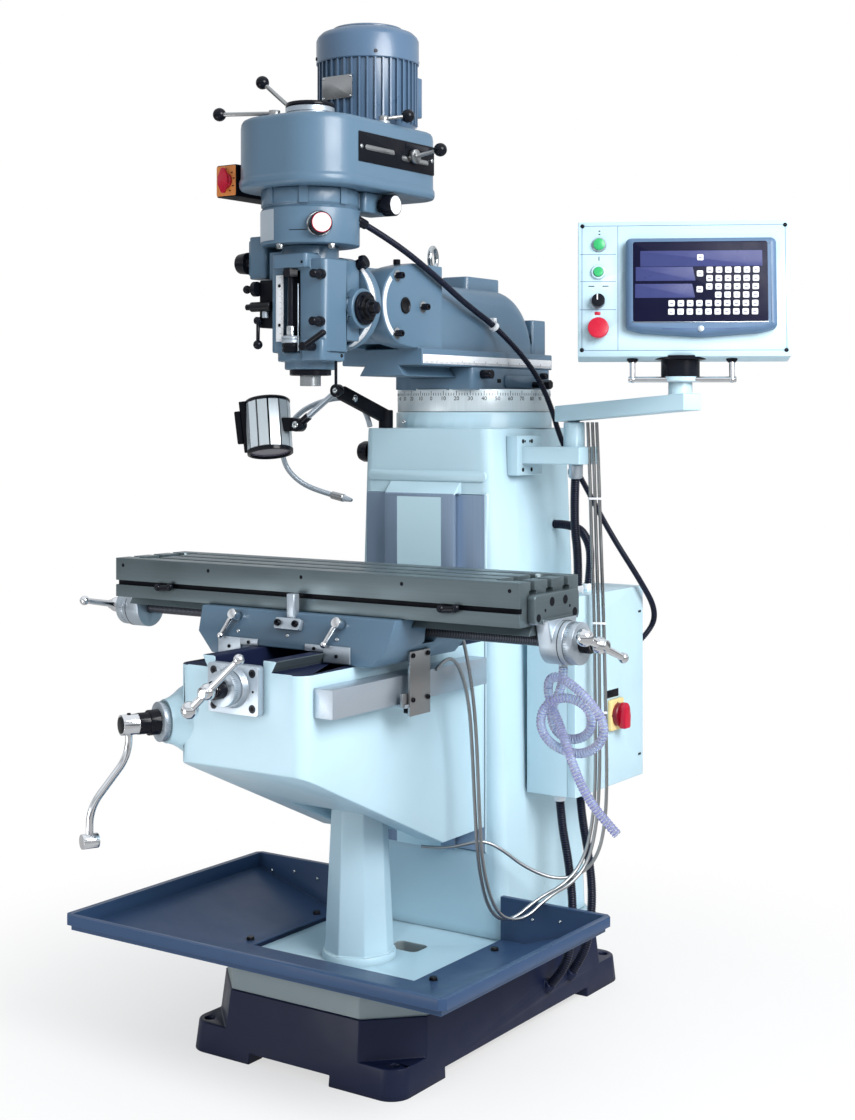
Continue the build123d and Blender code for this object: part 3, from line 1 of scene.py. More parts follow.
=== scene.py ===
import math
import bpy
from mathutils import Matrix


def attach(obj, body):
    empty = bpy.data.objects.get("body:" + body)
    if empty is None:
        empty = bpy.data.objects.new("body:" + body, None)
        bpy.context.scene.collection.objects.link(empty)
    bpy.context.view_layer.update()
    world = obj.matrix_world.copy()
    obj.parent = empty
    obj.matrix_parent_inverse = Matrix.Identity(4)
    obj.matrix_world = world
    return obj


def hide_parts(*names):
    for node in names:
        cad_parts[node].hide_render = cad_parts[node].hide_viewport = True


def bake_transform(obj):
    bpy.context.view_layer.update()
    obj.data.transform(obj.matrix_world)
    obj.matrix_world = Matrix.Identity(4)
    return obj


bl_info = {
    "name": "Turret milling machine",
    "version": (1, 0, 0),
    "blender": (4, 5, 0),
    "location": "View3D > Sidebar > Mill",
    "description": "Dresses a packed turret mill with castings, dials, cords and finishes",
    "category": "Object",
}

import bmesh
import bpy
import numpy as np
from bpy.props import FloatProperty, FloatVectorProperty, IntProperty, PointerProperty

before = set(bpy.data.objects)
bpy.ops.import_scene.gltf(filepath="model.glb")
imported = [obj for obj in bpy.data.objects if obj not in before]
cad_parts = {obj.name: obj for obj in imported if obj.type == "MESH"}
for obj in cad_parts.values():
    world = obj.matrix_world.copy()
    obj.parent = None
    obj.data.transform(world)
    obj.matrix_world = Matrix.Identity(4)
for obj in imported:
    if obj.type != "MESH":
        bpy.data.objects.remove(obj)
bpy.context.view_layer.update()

# Shapes are worked out in millimetres in the machine's own frame and scaled as objects are made
MM = 0.001
X, Y, Z = np.eye(3)

# Places that several pieces share: upright axes as (x, y), level axes as (y, z), and the crank's foot
SPINDLE = np.array((0.0, -398.0))
MOTOR = np.array((0.0, -194.0))
TURRET = np.array((0.0, 240.0))
SWIVEL = np.array((624.0, 82.0))
TABLE_SCREW = (-315, 922)
CHEEK = (-192, 1606)
CRANK = np.array((-193.0, -640.0, 739.0))
DOOR_FACE = 350.3
INF = math.inf

# Cord routes, the same points as the solids'
GOOSENECK = [
    (-164, 40, 1340), (-176, 40, 1386), (-235, 40, 1412), (-310, 40, 1402), (-385, 40, 1372),
    (-430, 40, 1310), (-428, 40, 1248), (-380, 40, 1205), (-312, 40, 1182), (-231, 40, 1167),
]
HEAD_CONDUIT = [
    (93, -326, 1768), (110, -246, 1737), (114, -110, 1682), (110, 40, 1618), (99, 180, 1576),
    (168, 228, 1484), (213, 236, 1400), (230, 262, 1302), (290, 255, 1215), (340, 300, 1090),
    (372, 390, 975), (372, 470, 900), (344, 497, 845), (322, 452, 812),
]
CABINET_CONDUITS = [
    [(330, 150, 1226), (317, 165, 1130), (316, 190, 1040), (308, 200, 965)],
    [(200, 280, 1110), (262, 278, 1112), (304, 264, 1072), (311, 256, 1018), (306, 252, 965)],
    [
        (289, 150, 505), (294, 150, 440), (318, 140, 360), (335, 130, 270), (334, 125, 190),
        (320, 121, 120), (284, 120, 82),
    ],
    [
        (285, 250, 505), (290, 250, 440), (312, 240, 365), (330, 230, 280), (328, 225, 200),
        (314, 222, 128), (284, 220, 85),
    ],
]
SCALE_CABLES = [
    [
        (364, 146, 1352), (367, 150, 1245), (368, 154, 1130), (371, 156, 1015), (375, 156, 900),
        (377, 155, 785), (378, 155, 670), (379, 155, 560), (376, 150, 460), (366, 128, 375),
        (346, 78, 326), (316, 8, 306), (286, -60, 264), (260, -106, 290), (245, -125, 390),
        (240, -131, 520), (239, -140, 650), (239, -152, 750), (241, -190, 832), (243, -240, 864),
        (243, -286, 838),
    ],
    [
        (374, 149, 1352), (377, 153, 1245), (378, 157, 1130), (381, 159, 1015), (385, 159, 900),
        (387, 158, 785), (388, 158, 670), (388, 158, 560), (385, 152, 455), (375, 130, 368),
        (357, 84, 326), (336, 22, 311), (308, -44, 266), (276, -102, 286), (254, -123, 390),
        (250, -129, 520), (249, -136, 650), (246, -142, 740), (236, -148, 830), (222, -157, 905),
    ],
    [
        (384, 151, 1352), (387, 155, 1245), (388, 160, 1130), (391, 163, 1015), (395, 164, 900),
        (398, 164, 785), (400, 165, 670), (402, 166, 560), (400, 164, 460), (390, 150, 382),
        (362, 124, 340), (318, 82, 330), (268, 34, 360), (228, -6, 406), (200, -33, 425),
        (170, -58, 418), (132, -88, 409), (90, -118, 414),
    ],
]
COOLANT_HOSE = [
    (546, -284, 868), (546, -284, 830), (519, -290, 782), (534, -299, 742), (582, -311, 728),
    (630, -318, 752), (630, -324, 799), (587, -336, 822), (541, -342, 805), (524, -341, 765),
    (538, -336, 730), (577, -332, 711), (622, -335, 711), (664, -341, 738), (673, -346, 780),
    (640, -350, 820), (592, -344, 851), (550, -331, 858), (527, -315, 835), (535, -313, 796),
    (562, -324, 758), (598, -356, 720), (618, -361, 680), (637, -358, 642), (662, -352, 606),
    (700, -345, 568),
]


def srgb(red, green, blue):
    """A colour given as 0 to 255 screen values, as the linear values that shaders take."""
    value = np.array((red, green, blue)) / 255
    linear = np.where(value <= 0.04045, value / 12.92, ((value + 0.055) / 1.055) ** 2.4)
    return (*linear.tolist(), 1.0)


def tint(name, description, *screen):
    """A colour property with its default given in screen values."""
    return FloatVectorProperty(
        name=name, description=description, subtype="COLOR", size=4, min=0, max=1, default=srgb(*screen)
    )


class MillColours(bpy.types.PropertyGroup):
    """Tones of the paints, metals and plastics"""

    machine_paint: tint("Machine paint", "Blue-grey of the head, ram, turret and saddle", 87, 115, 138)
    base_paint: tint("Base paint", "Dark blue of the base", 22, 30, 58)
    tray_paint: tint("Tray paint", "Blue-grey of the tray", 52, 76, 110)
    white_paint: tint("White paint", "Cool white of the column, knee and cabinet", 192, 222, 235)
    iron: tint("Ground iron", "Oiled ground iron of the table and ways", 105, 119, 124)
    steel: tint("Ground steel", "Bright ground steel of rings, dials and shafts", 196, 202, 206)
    motor: tint("Motor", "Grey-blue enamel of the motor", 84, 110, 138)
    hose: tint("Hose", "Tint of the clear coolant hose", 222, 226, 243)
    lever_red: tint("Red", "Stop button and switch handles", 190, 16, 50)
    button_green: tint("Green", "Start button and pilot light", 52, 176, 106)


class MillSizes(bpy.types.PropertyGroup):
    """Roundings and fineness"""

    edge: FloatProperty(
        name="Edge", description="Rounding of the castings' edges", default=0.003, unit="LENGTH", min=0
    )
    fine_edge: FloatProperty(
        name="Fine edge", description="Rounding of machined edges", default=0.001, unit="LENGTH", min=0
    )
    rounds: IntProperty(name="Rounds", description="Points round a turned piece", default=40, min=12)


class MillStage(bpy.types.PropertyGroup):
    """Camera and light"""

    lens: FloatProperty(name="Lens", description="Camera lens", default=55.6, unit="CAMERA")
    key: FloatProperty(name="Key", description="Strength of the large soft light", default=176, unit="POWER")
    fill: FloatProperty(name="Fill", description="Strength of the low front light", default=7, unit="POWER")
    sky: FloatProperty(name="Sky", description="Light from all round", default=0.5, min=0)


def colour(name):
    """One of the scene's colours as a tuple."""
    return tuple(getattr(bpy.context.scene.mill_colours, name))


def cast_edge(times=1.0):
    """The rounding of the castings' edges in millimetres, times a factor."""
    return bpy.context.scene.mill_sizes.edge / MM * times


def fine_edge(times=1.0):
    """The rounding of machined edges in millimetres, times a factor."""
    return bpy.context.scene.mill_sizes.fine_edge / MM * times


def placed(name, data):
    """A new object in the scene."""
    made = bpy.data.objects.new(name, data)
    bpy.context.scene.collection.objects.link(made)
    return made


# Shapes


def around(degrees):
    """Level directions turned from X by angles in degrees: (cos a, sin a, 0)."""
    angle = np.radians(degrees)
    return np.stack([np.cos(angle), np.sin(angle), 0 * angle], axis=-1)


def unit(vector):
    """A vector of length 1 along the given one."""
    vector = np.asarray(vector, float)
    return vector / np.linalg.norm(vector)


def stand(origin, z=Z, x=None):
    """A local frame: its z axis as given, its x axis the hint less what lies along z, y = z cross x."""
    z = unit(z)
    hint = np.asarray(x if x is not None else (X if abs(z[0]) < 0.9 else Y), float)
    x = unit(hint - z * (hint @ z))
    return np.asarray(origin, float), np.stack([x, np.cross(z, x), z])


def put(points, at):
    """Local points carried into the machine's frame: origin + x X + y Y + z Z."""
    return at[0] + np.asarray(points, float) @ at[1]


def skin(rings, start=True, end=True):
    """A surface over rings of points, where quad (i, j) joins points j and j + 1 of rings i and i + 1.

    Rings that run anticlockwise about the direction they advance in give outward faces. The first and
    last rings are closed with a flat face where start and end say so.
    """
    rings = np.asarray(rings, float)
    rows, columns = rings.shape[:2]
    number = np.arange(rows * columns).reshape(rows, columns)
    beside = np.roll(number, -1, axis=1)
    quads = np.stack([number[:-1], beside[:-1], beside[1:], number[1:]], axis=-1).reshape(-1, 4)
    caps = [number[0, ::-1].tolist()] * start + [number[-1].tolist()] * end
    return rings.reshape(-1, 3), [*quads.tolist(), *caps]


def circle(radius, count):
    """Points of a circle: radius (cos a, sin a)."""
    return radius * around(np.arange(count) * 360 / count)[:, :2]


def rounded(corners, radius, steps=5):
    """A closed outline with each corner replaced by an arc, tangent to its two sides.

    The arc's centre lies on the bisector at radius / sin(half angle), and its points turn evenly from
    one side's normal to the other's. The corners run anticlockwise and all turn left.
    """
    corners = np.asarray(corners, float)
    radius = np.broadcast_to(radius, len(corners))[:, None]
    ahead = np.roll(corners, -1, 0) - corners
    ahead /= np.linalg.norm(ahead, axis=1, keepdims=True)
    behind = np.roll(ahead, 1, 0)
    first = np.stack([behind[:, 1], -behind[:, 0]], axis=1)
    last = np.stack([ahead[:, 1], -ahead[:, 0]], axis=1)
    centre = corners - radius * (first + last) / (1 + (first * last).sum(1, keepdims=True))
    turn = np.arctan2(first[:, 0] * last[:, 1] - first[:, 1] * last[:, 0], (first * last).sum(1))
    angle = np.arctan2(first[:, 1], first[:, 0])[:, None] + turn[:, None] * np.linspace(0, 1, steps)
    arc = np.stack([np.cos(angle), np.sin(angle)], axis=-1)
    return (centre[:, None] + radius[:, None] * arc).reshape(-1, 2)


def oblong(width, height, radius):
    """A rectangle about the origin with rounded corners."""
    a, b = width / 2, height / 2
    return rounded([(-a, -b), (a, -b), (a, b), (-a, b)], radius)


def inset(outline, by):
    """An outline moved inwards: each point goes along its corner's bisector, square to both sides."""
    outline = np.asarray(outline, float)
    ahead = np.roll(outline, -1, 0) - outline
    ahead /= np.linalg.norm(ahead, axis=1, keepdims=True)
    inward = np.stack([-ahead[:, 1], ahead[:, 0]], axis=1)
    both = inward + np.roll(inward, 1, 0)
    return outline + by * 2 * both / (both * both).sum(1, keepdims=True)


def plate(outline, steps, at):
    """A flat piece: the outline moved in by each step's inset, at each step's height."""
    rings = [np.column_stack([inset(outline, by), np.full(len(outline), high)]) for by, high in steps]
    return skin(put(rings, at))


def slab(outline, low, high, at, edge):
    """A plate between two heights with its upper and lower edges rounded off."""
    steps = [(edge, low), (edge * 0.3, low + edge * 0.3), (0, low + edge)]
    steps += [(0, high - edge), (edge * 0.3, high - edge * 0.3), (edge, high)]
    return plate(outline, steps, at)


def block(low, high, radius, edge):
    """An upright box between two corners, its vertical corners rounded and its rims eased."""
    low, high = np.asarray(low, float), np.asarray(high, float)
    middle = (low + high) / 2
    size = high - low
    outline = oblong(size[0], size[1], min(radius, size[0] / 2.1, size[1] / 2.1))
    return slab(outline, -size[2] / 2, size[2] / 2, stand(middle), min(edge, size[2] / 3))


# For turned pieces with no end faces
OPEN = {"start": False, "end": False}


def turned(profile, at, count=None, start=True, end=True):
    """A turned piece: the profile's (radius, height) points carried round the frame's z axis.

    A third value makes that ring a polygon of so many sides: its radius is scaled at each angle by
    cos(half a side) / cos(angle from the side's middle).
    """
    count = count or bpy.context.scene.mill_sizes.rounds
    angle = np.arange(count) * 2 * np.pi / count
    rings = []
    for radius, height, *sides in profile:
        across = np.full(count, float(radius))
        if sides:
            half = np.pi / sides[0]
            across *= np.cos(half) / np.cos(angle % (2 * half) - half)
        ring = [across * np.cos(angle), across * np.sin(angle), np.full(count, height)]
        rings.append(np.stack(ring, axis=1))
    return skin(put(rings, at), start, end)


def rod(foot, head, radius, edge=1.0):
    """A straight round bar between two points, with its ends eased."""
    foot, head = np.asarray(foot, float), np.asarray(head, float)
    long = np.linalg.norm(head - foot)
    profile = [(radius - edge, 0), (radius, edge), (radius, long - edge), (radius - edge, long)]
    return turned(profile, stand(foot, head - foot), 24)


def ball(centre, radius):
    """A sphere: rings of radius sin(a) at height -cos(a), from nearly one pole to the other."""
    angle = np.linspace(0.06, np.pi - 0.06, 14)
    profile = np.stack([radius * np.sin(angle), -radius * np.cos(angle)], axis=1)
    return turned(profile.tolist(), stand(centre), 28)


def dot(at, radius, count=16, high=0.3):
    """A thin round spot on a face."""
    return turned([(radius, 0), (radius, high)], at, count, start=False)


def tube(line, radius, steady, count):
    """A round section carried along a line, square to it: line + radius (cos a u + sin a v).

    u is square to both the line and the steady direction, and v to the line and u.
    """
    ahead = np.gradient(line, axis=0)
    ahead /= np.linalg.norm(ahead, axis=1, keepdims=True)
    u = np.cross(np.broadcast_to(np.asarray(steady, float), line.shape), ahead)
    u /= np.linalg.norm(u, axis=1, keepdims=True)
    v = np.cross(ahead, u)
    section = circle(1, count)
    section = section[:, 0, None] * u[:, None] + section[:, 1, None] * v[:, None]
    return skin(line[:, None] + radius[:, None, None] * section)


def bars(at, centres, long, wide, lift):
    """Many small flat bars at once: a centre's corners are centre +- long +- wide, with or without lift."""
    long, wide, lift = (np.broadcast_to(np.asarray(v, float), centres.shape) for v in (long, wide, lift))
    foot = [centres - long - wide, centres + long - wide, centres + long + wide, centres - long + wide]
    foot = np.stack(foot, axis=1)
    points = np.concatenate([foot, foot + lift[:, None]], axis=1)
    sides = np.array([(4, 5, 6, 7), (0, 1, 5, 4), (1, 2, 6, 5), (2, 3, 7, 6), (3, 0, 4, 7), (3, 2, 1, 0)])
    faces = np.arange(len(centres))[:, None, None] * 8 + sides
    return put(points.reshape(-1, 3), at), faces.reshape(-1, 4).tolist()


def vectors(items, attribute):
    """A vector of each of a mesh's vertices or faces, one to a row."""
    values = np.zeros(len(items) * 3)
    items.foreach_get(attribute, values)
    return values.reshape(-1, 3)


def settled(curve):
    """The points and faces that a curve makes; the curve itself is taken away."""
    holder = bpy.data.objects.new(curve.name, curve)
    mesh = bpy.data.meshes.new_from_object(holder)
    points = vectors(mesh.vertices, "co")
    faces = [list(face.vertices) for face in mesh.polygons]
    bpy.data.objects.remove(holder)
    bpy.data.curves.remove(curve)
    bpy.data.meshes.remove(mesh)
    return points, faces


def figures(text, height, at):
    """Plain figures as thin solids: the built-in outlines, extruded, centred and laid in a frame."""
    curve = bpy.data.curves.new("figures", "FONT")
    curve.body = str(text)
    curve.size = height
    curve.extrude = 0.12
    curve.resolution_u = 3
    curve.align_x = "CENTER"
    curve.align_y = "CENTER"
    points, faces = settled(curve)
    return put(points, at), faces


def cap_screw(at, radius, height=None):
    """A socket-head screw: a round head with a hexagon sunk into it."""
    high = height or radius * 1.1
    key = radius * 0.55
    profile = [
        (radius, 0), (radius, high * 0.86), (radius * 0.9, high), (key, high, 6),
        (key, high * 0.45, 6), (key * 0.2, high * 0.4),
    ]
    return turned(profile, at, 24, start=False)


def hex_bolt(at, radius, height=None):
    """A hexagon head on a thin washer face, its top corners turned off."""
    high = height or radius * 0.75
    profile = [
        (radius * 1.05, 0), (radius * 1.05, high * 0.1), (radius, high * 0.12, 6), (radius, high * 0.85, 6),
        (radius * 0.86, high),
    ]
    return turned(profile, at, 24, start=False)


def domed_screw(at, radius, height=None):
    """A low domed screw with a cross slot's bowl sunk in its middle."""
    high = height or radius * 0.5
    profile = [
        (radius, 0), (radius * 0.96, high * 0.4), (radius * 0.75, high * 0.8), (radius * 0.4, high),
        (radius * 0.3, high * 0.75), (radius * 0.05, high * 0.7),
    ]
    return turned(profile, at, 18, start=False)


# Materials

EVEN = (1, 1, 1)


def feed(target, values):
    """Gives a node its inputs: another node's output is linked, and anything else becomes the value."""
    for key, value in dict(values).items():
        if isinstance(value, bpy.types.NodeSocket):
            target.id_data.links.new(value, target.inputs[key])
        else:
            target.inputs[key].default_value = value


def node(tree, kind, values=(), **settings):
    """A node of a kind, with its settings and its inputs."""
    new = tree.nodes.new(kind)
    for key, value in settings.items():
        setattr(new, key, value)
    feed(new, values)
    return new


def shader(name):
    """A new material with its node tree and its main shader."""
    material = bpy.data.materials.new(name)
    material.use_nodes = True
    return material, material.node_tree, material.node_tree.nodes["Principled BSDF"]


def noise(tree, scale, detail, stretch=EVEN):
    """Noise on the piece's own coordinates, stretched by a scale along each axis."""
    place = node(tree, "ShaderNodeTexCoord").outputs["Object"]
    spread = node(tree, "ShaderNodeMapping", {"Vector": place, "Scale": stretch}).outputs["Vector"]
    values = {"Vector": spread, "Scale": scale, "Detail": detail}
    return node(tree, "ShaderNodeTexNoise", values).outputs["Fac"]


def between(tree, factor, low, high):
    """A value from low to high as a factor goes from 0.3 to 0.7, which is where noise mostly lies."""
    return node(tree, "ShaderNodeMapRange", {0: factor, 1: 0.3, 2: 0.7, 3: low, 4: high}).outputs[0]


def blended(tree, factor, low, high):
    """A colour between two by a factor; either may be a colour or another node's output."""
    return node(tree, "ShaderNodeMix", {0: factor, 6: low, 7: high}, data_type="RGBA").outputs[2]


def shade(tone, by):
    """A colour made lighter or darker by a factor."""
    return (*(min(1.0, value * by) for value in tone[:3]), 1.0)


def bump(tree, height, strength, distance=0.001):
    """A normal with small relief on the surface from a height."""
    values = {"Height": height, "Strength": strength, "Distance": distance}
    return node(tree, "ShaderNodeBump", values).outputs["Normal"]


def creases(tree, tone, dark, reach=0.02):
    """Painted shade: a tone that grows darker in corners, by how much of the sky is hidden within reach."""
    hidden = node(tree, "ShaderNodeAmbientOcclusion", {"Distance": reach}, samples=4)
    return blended(tree, hidden.outputs["AO"], dark, tone)


def paint(name, tone, rough, peel=0.06, gloss=1.0):
    """Sprayed paint: a slow drift of tone, orange peel of about 3 mm, and painted shade that darkens the
    corners.
    """
    material, tree, main = shader(name)
    body = blended(tree, noise(tree, 5, 4), shade(tone, 0.93), shade(tone, 1.07))
    values = {
        # Painted shade: the colour falls to 0.55 of the tone in corners and creases
        "Base Color": creases(tree, body, shade(tone, 0.55)),
        "Roughness": between(tree, noise(tree, 14, 5), rough * 0.85, rough * 1.2),
        "Normal": bump(tree, noise(tree, 320, 2), peel),
        "Specular IOR Level": 0.5 * gloss,
        "Coat Weight": 0.15 * gloss,
        "Coat Roughness": 0.12,
    }
    feed(main, values)
    return material


def metal(name, tone, rough, stretch, scale, streak=0.08, bare=1.0):
    """Metal: streaks along the way it was worked, in tone and relief, and painted shade in tight corners;
    bare below 1 is dull.
    """
    material, tree, main = shader(name)
    grain = noise(tree, scale, 4, stretch)
    worked = blended(tree, grain, shade(tone, 0.88), shade(tone, 1.08))
    values = {
        # Painted shade: the colour falls to 0.35 of the tone in tight corners
        "Base Color": creases(tree, worked, shade(tone, 0.35), 0.008),
        "Roughness": between(tree, noise(tree, 9, 4), rough * 0.8, rough * 1.3),
        "Normal": bump(tree, grain, streak, 0.0004),
        "Metallic": bare,
    }
    feed(main, values)
    return material


def plastic(name, tone, rough, grain, gloss=1.0):
    """Moulded plastic: faint spark-eroded grain and uneven gloss."""
    material, tree, main = shader(name)
    values = {
        "Base Color": blended(tree, noise(tree, 30, 3), shade(tone, 0.9), shade(tone, 1.1)),
        "Roughness": between(tree, noise(tree, 40, 4), rough * 0.85, rough * 1.2),
        "Normal": bump(tree, noise(tree, 1500, 2), grain, 0.0003),
        "Specular IOR Level": 0.5 * gloss,
    }
    feed(main, values)
    return material


def clear(name, tone):
    """Soft clear hose: a tinted see-through wall with cloudy gloss."""
    material, tree, main = shader(name)
    cloud = noise(tree, 60, 3)
    values = {
        "Base Color": blended(tree, cloud, shade(tone, 0.92), shade(tone, 1.05)),
        "Roughness": between(tree, cloud, 0.12, 0.3),
        "Transmission Weight": 0.8,
        "IOR": 1.3,
    }
    feed(main, values)
    return material


def thread(name, dark, light):
    """A screw along X: fine bright crests by a wave every 4 mm, in tone and relief."""
    material, tree, main = shader(name)
    place = node(tree, "ShaderNodeTexCoord").outputs["Object"]
    wave = node(tree, "ShaderNodeTexWave", {"Vector": place, "Scale": 80.0}, bands_direction="X")
    crest = wave.outputs["Fac"]
    values = {
        "Base Color": blended(tree, crest, dark, light),
        "Normal": bump(tree, crest, 0.5),
        "Metallic": 0.8,
        "Roughness": 0.35,
    }
    feed(main, values)
    return material


# Each finish's slot in the record, its maker, its tone as a property's name or a colour, and the rest
FINISHES = {
    "machine_paint": ("machine_paint", paint, "machine_paint", 0.36),
    "base_paint": ("base_paint", paint, "base_paint", 0.42, 0.06, 0.4),
    "tray_paint": ("base_paint", paint, "tray_paint", 0.36, 0.06, 0.5),
    # Painted shade: a grey copy of the white paint, as the base's upper band looks in the tray's shadow
    "band_paint": ("base_paint", paint, srgb(128, 142, 146), 0.45),
    "white_paint": ("white_paint", paint, "white_paint", 0.36),
    # Painted light: a brighter copy of the white paint, so the way's strip looks lit where it lies in shade
    "way_paint": ("white_paint", paint, srgb(208, 240, 255), 0.36),
    "motor_grey": ("motor_grey", paint, "motor", 0.3, 0.1),
    "iron_along_x": ("ground_iron", metal, "iron", 0.38, (4, 300, 300), 1, 0.08, 0.65),
    "iron_along_y": ("ground_iron", metal, "iron", 0.38, (300, 4, 300), 1, 0.08, 0.65),
    # Painted light: a lighter, bluer copy of the ground iron, so the column's flanks look as lit as the
    # table's front
    "iron_along_z": ("ground_iron", metal, srgb(150, 171, 196), 0.34, (300, 300, 4), 1, 0.08, 0.5),
    "steel": ("ground_steel", metal, "steel", 0.2, (40, 40, 400), 1),
    "ring_steel": ("ground_steel", metal, (0.74, 0.82, 0.86, 1), 0.4, (400, 400, 4), 1, 0.1, 0.4),
    "dark_steel": ("dark_steel", metal, (0.035, 0.036, 0.04, 1), 0.35, EVEN, 200),
    "screw_thread": ("dark_steel", thread, (0.012, 0.013, 0.02, 1), (0.16, 0.17, 0.2, 1)),
    "chrome": ("chrome", metal, (0.82, 0.84, 0.87, 1), 0.07, EVEN, 60, 0.01),
    "silver": ("silver", metal, (0.5, 0.57, 0.64, 1), 0.36, EVEN, 400, 0.1, 0.7),
    "lamp_silver": ("silver", metal, (0.8, 0.88, 0.93, 1), 0.3, EVEN, 400, 0.1, 0.6),
    "cable_steel": ("silver", metal, (0.42, 0.43, 0.44, 1), 0.3, EVEN, 400, 0.05),
    "black_plastic": ("black_plastic", plastic, (0.006, 0.007, 0.012, 1), 0.2, 0.02, 0.4),
    "black_matte": ("black_plastic", plastic, (0.005, 0.006, 0.01, 1), 0.5, 0.1, 0.25),
    "display_face": ("black_plastic", plastic, srgb(14, 16, 44), 0.4, 0.02, 0.25),
    "window": ("black_plastic", plastic, srgb(60, 66, 114), 0.3, 0.01, 0.35),
    "lens": ("black_plastic", plastic, srgb(112, 106, 124), 0.2, 0.01),
    "bezel": ("grey_plastic", plastic, srgb(88, 116, 148), 0.42, 0.04),
    "key_mark": ("grey_plastic", plastic, srgb(84, 92, 124), 0.5, 0.02),
    "line_blue": ("grey_plastic", plastic, srgb(74, 92, 140), 0.5, 0.02),
    "orange_face": ("grey_plastic", plastic, srgb(232, 142, 72), 0.4, 0.03),
    "cream_face": ("grey_plastic", plastic, srgb(240, 216, 150), 0.4, 0.03),
    "red_plastic": ("red_plastic", plastic, "lever_red", 0.25, 0.02),
    "dark_red": ("red_plastic", plastic, srgb(120, 16, 34), 0.3, 0.02),
    "green_plastic": ("green_plastic", plastic, "button_green", 0.25, 0.02),
    "white_face": ("white_paint", plastic, srgb(238, 240, 244), 0.35, 0.02),
    "cable_black": ("cable_black", plastic, (0.004, 0.005, 0.01, 1), 0.3, 0.05, 0.35),
    # Painted highlight: a lighter blue on the conduits' ribs stands for the glints along them
    "conduit_ridge": ("cable_black", plastic, srgb(40, 47, 76), 0.26, 0.05, 0.5),
    "belt_rubber": ("belt_rubber", plastic, (0.02, 0.02, 0.02, 1), 0.6, 0.15),
    "clear_hose": ("clear_hose", clear, "hose"),
    "hose_wire": ("clear_hose", plastic, srgb(126, 128, 194), 0.3, 0.02),
}
MADE = {}


def finish(name):
    """The material of a finish, made the first time that it is asked for."""
    if name not in MADE:
        _, maker, tone, *rest = FINISHES[name]
        MADE[name] = maker(name, colour(tone) if isinstance(tone, str) else tone, *rest)
    return MADE[name]


def declare(made, body, stands_for):
    """Hides the nodes that a piece stands for and hangs the piece on the body that it rides on."""
    if stands_for:
        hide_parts(*stands_for)
    if body:
        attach(made, body)


class Piece:
    """Shapes gathered into one mesh, each with its finish, that rides on one body."""

    def __init__(self, name):
        self.name = name
        self.finishes = []
        self.points = []
        self.faces = []
        self.numbers = []
        self.count = 0

    def add(self, finish_name, *shapes):
        """Adds shapes of one finish, and gives the piece back."""
        if finish_name not in self.finishes:
            self.finishes.append(finish_name)
        number = self.finishes.index(finish_name)
        for points, faces in shapes:
            self.points.append(points)
            self.faces += [[corner + self.count for corner in face] for face in faces]
            self.numbers += [number] * len(faces)
            self.count += len(points)
        return self

    def done(self, body=None, stands_for=(), smooth=40):
        """Makes the object in metres: quads smooth but for edges sharper than an angle, end faces flat."""
        mesh = bpy.data.meshes.new(self.name)
        mesh.from_pydata((np.concatenate(self.points) * MM).tolist(), [], self.faces)
        for name in self.finishes:
            mesh.materials.append(finish(name))
        mesh.polygons.foreach_set("material_index", self.numbers)
        mesh.polygons.foreach_set("use_smooth", [len(face) == 4 for face in self.faces])
        mesh.set_sharp_from_angle(angle=math.radians(smooth))
        mesh.update()
        made = placed(self.name, mesh)
        declare(made, body, stands_for)
        return made


def dress(name, *nodes):
    """Gives CAD nodes that keep their own shape a finish."""
    for node_name in nodes:
        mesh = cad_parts[node_name].data
        mesh.materials.clear()
        mesh.materials.append(finish(name))


def softened(node_name, body, finish_name, width, where=(), segments=3, sharp=35):
    """A casting with rounded edges, standing for its node.

    The node's mesh is copied, merged and its flat faces joined; a Bevel modifier rounds each edge that
    turns by more than an angle. Each test in where takes face centres in millimetres and normals as
    arrays, and gives its finish to the faces for which it holds.
    """
    mesh = bpy.data.meshes.new(f"{node_name}_dressed")
    shape = bmesh.new()
    shape.from_mesh(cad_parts[node_name].data)
    bmesh.ops.remove_doubles(shape, verts=shape.verts, dist=2e-5)
    flat = math.radians(0.6)
    bmesh.ops.dissolve_limit(shape, angle_limit=flat, verts=shape.verts, edges=shape.edges)
    shape.to_mesh(mesh)
    shape.free()
    centres = vectors(mesh.polygons, "center") / MM
    normals = vectors(mesh.polygons, "normal")
    number = np.zeros(len(centres), int)
    mesh.materials.clear()
    mesh.materials.append(finish(finish_name))
    for index, (other, test) in enumerate(where, start=1):
        mesh.materials.append(finish(other))
        number[test(centres, normals)] = index
    mesh.polygons.foreach_set("material_index", number.tolist())
    mesh.polygons.foreach_set("use_smooth", [True] * len(centres))
    made = placed(f"{node_name}_dressed", mesh)
    bevel = made.modifiers.new("edges", "BEVEL")
    bevel.width = width * MM
    bevel.segments = segments
    bevel.limit_method = "ANGLE"
    bevel.angle_limit = math.radians(sharp)
    bevel.use_clamp_overlap = False
    bevel.harden_normals = True
    declare(made, body, [node_name])


# Cords

# The conduits' ribs take a lighter tone that is a painted glint; the hose's ribs take the hose's wire
RIBBED = ["cable_black", "conduit_ridge"]
HOSE = ["clear_hose", "hose_wire"]


def smooth_line(route):
    """Points along a route's curve: a second-order NURBS spline with the route's points as its controls."""
    curve = bpy.data.curves.new("route", "CURVE")
    curve.dimensions = "3D"
    curve.resolution_u = 16
    spline = curve.splines.new("NURBS")
    spline.points.add(len(route) - 1)
    spline.points.foreach_set("co", np.column_stack([np.array(route) * MM, np.ones(len(route))]).ravel())
    spline.order_u = 3
    spline.use_endpoint_u = True
    return settled(curve)[0] / MM


def along(line):
    """The distance along a line to each of its points."""
    return np.concatenate([[0], np.cumsum(np.linalg.norm(np.diff(line, axis=0), axis=1))])


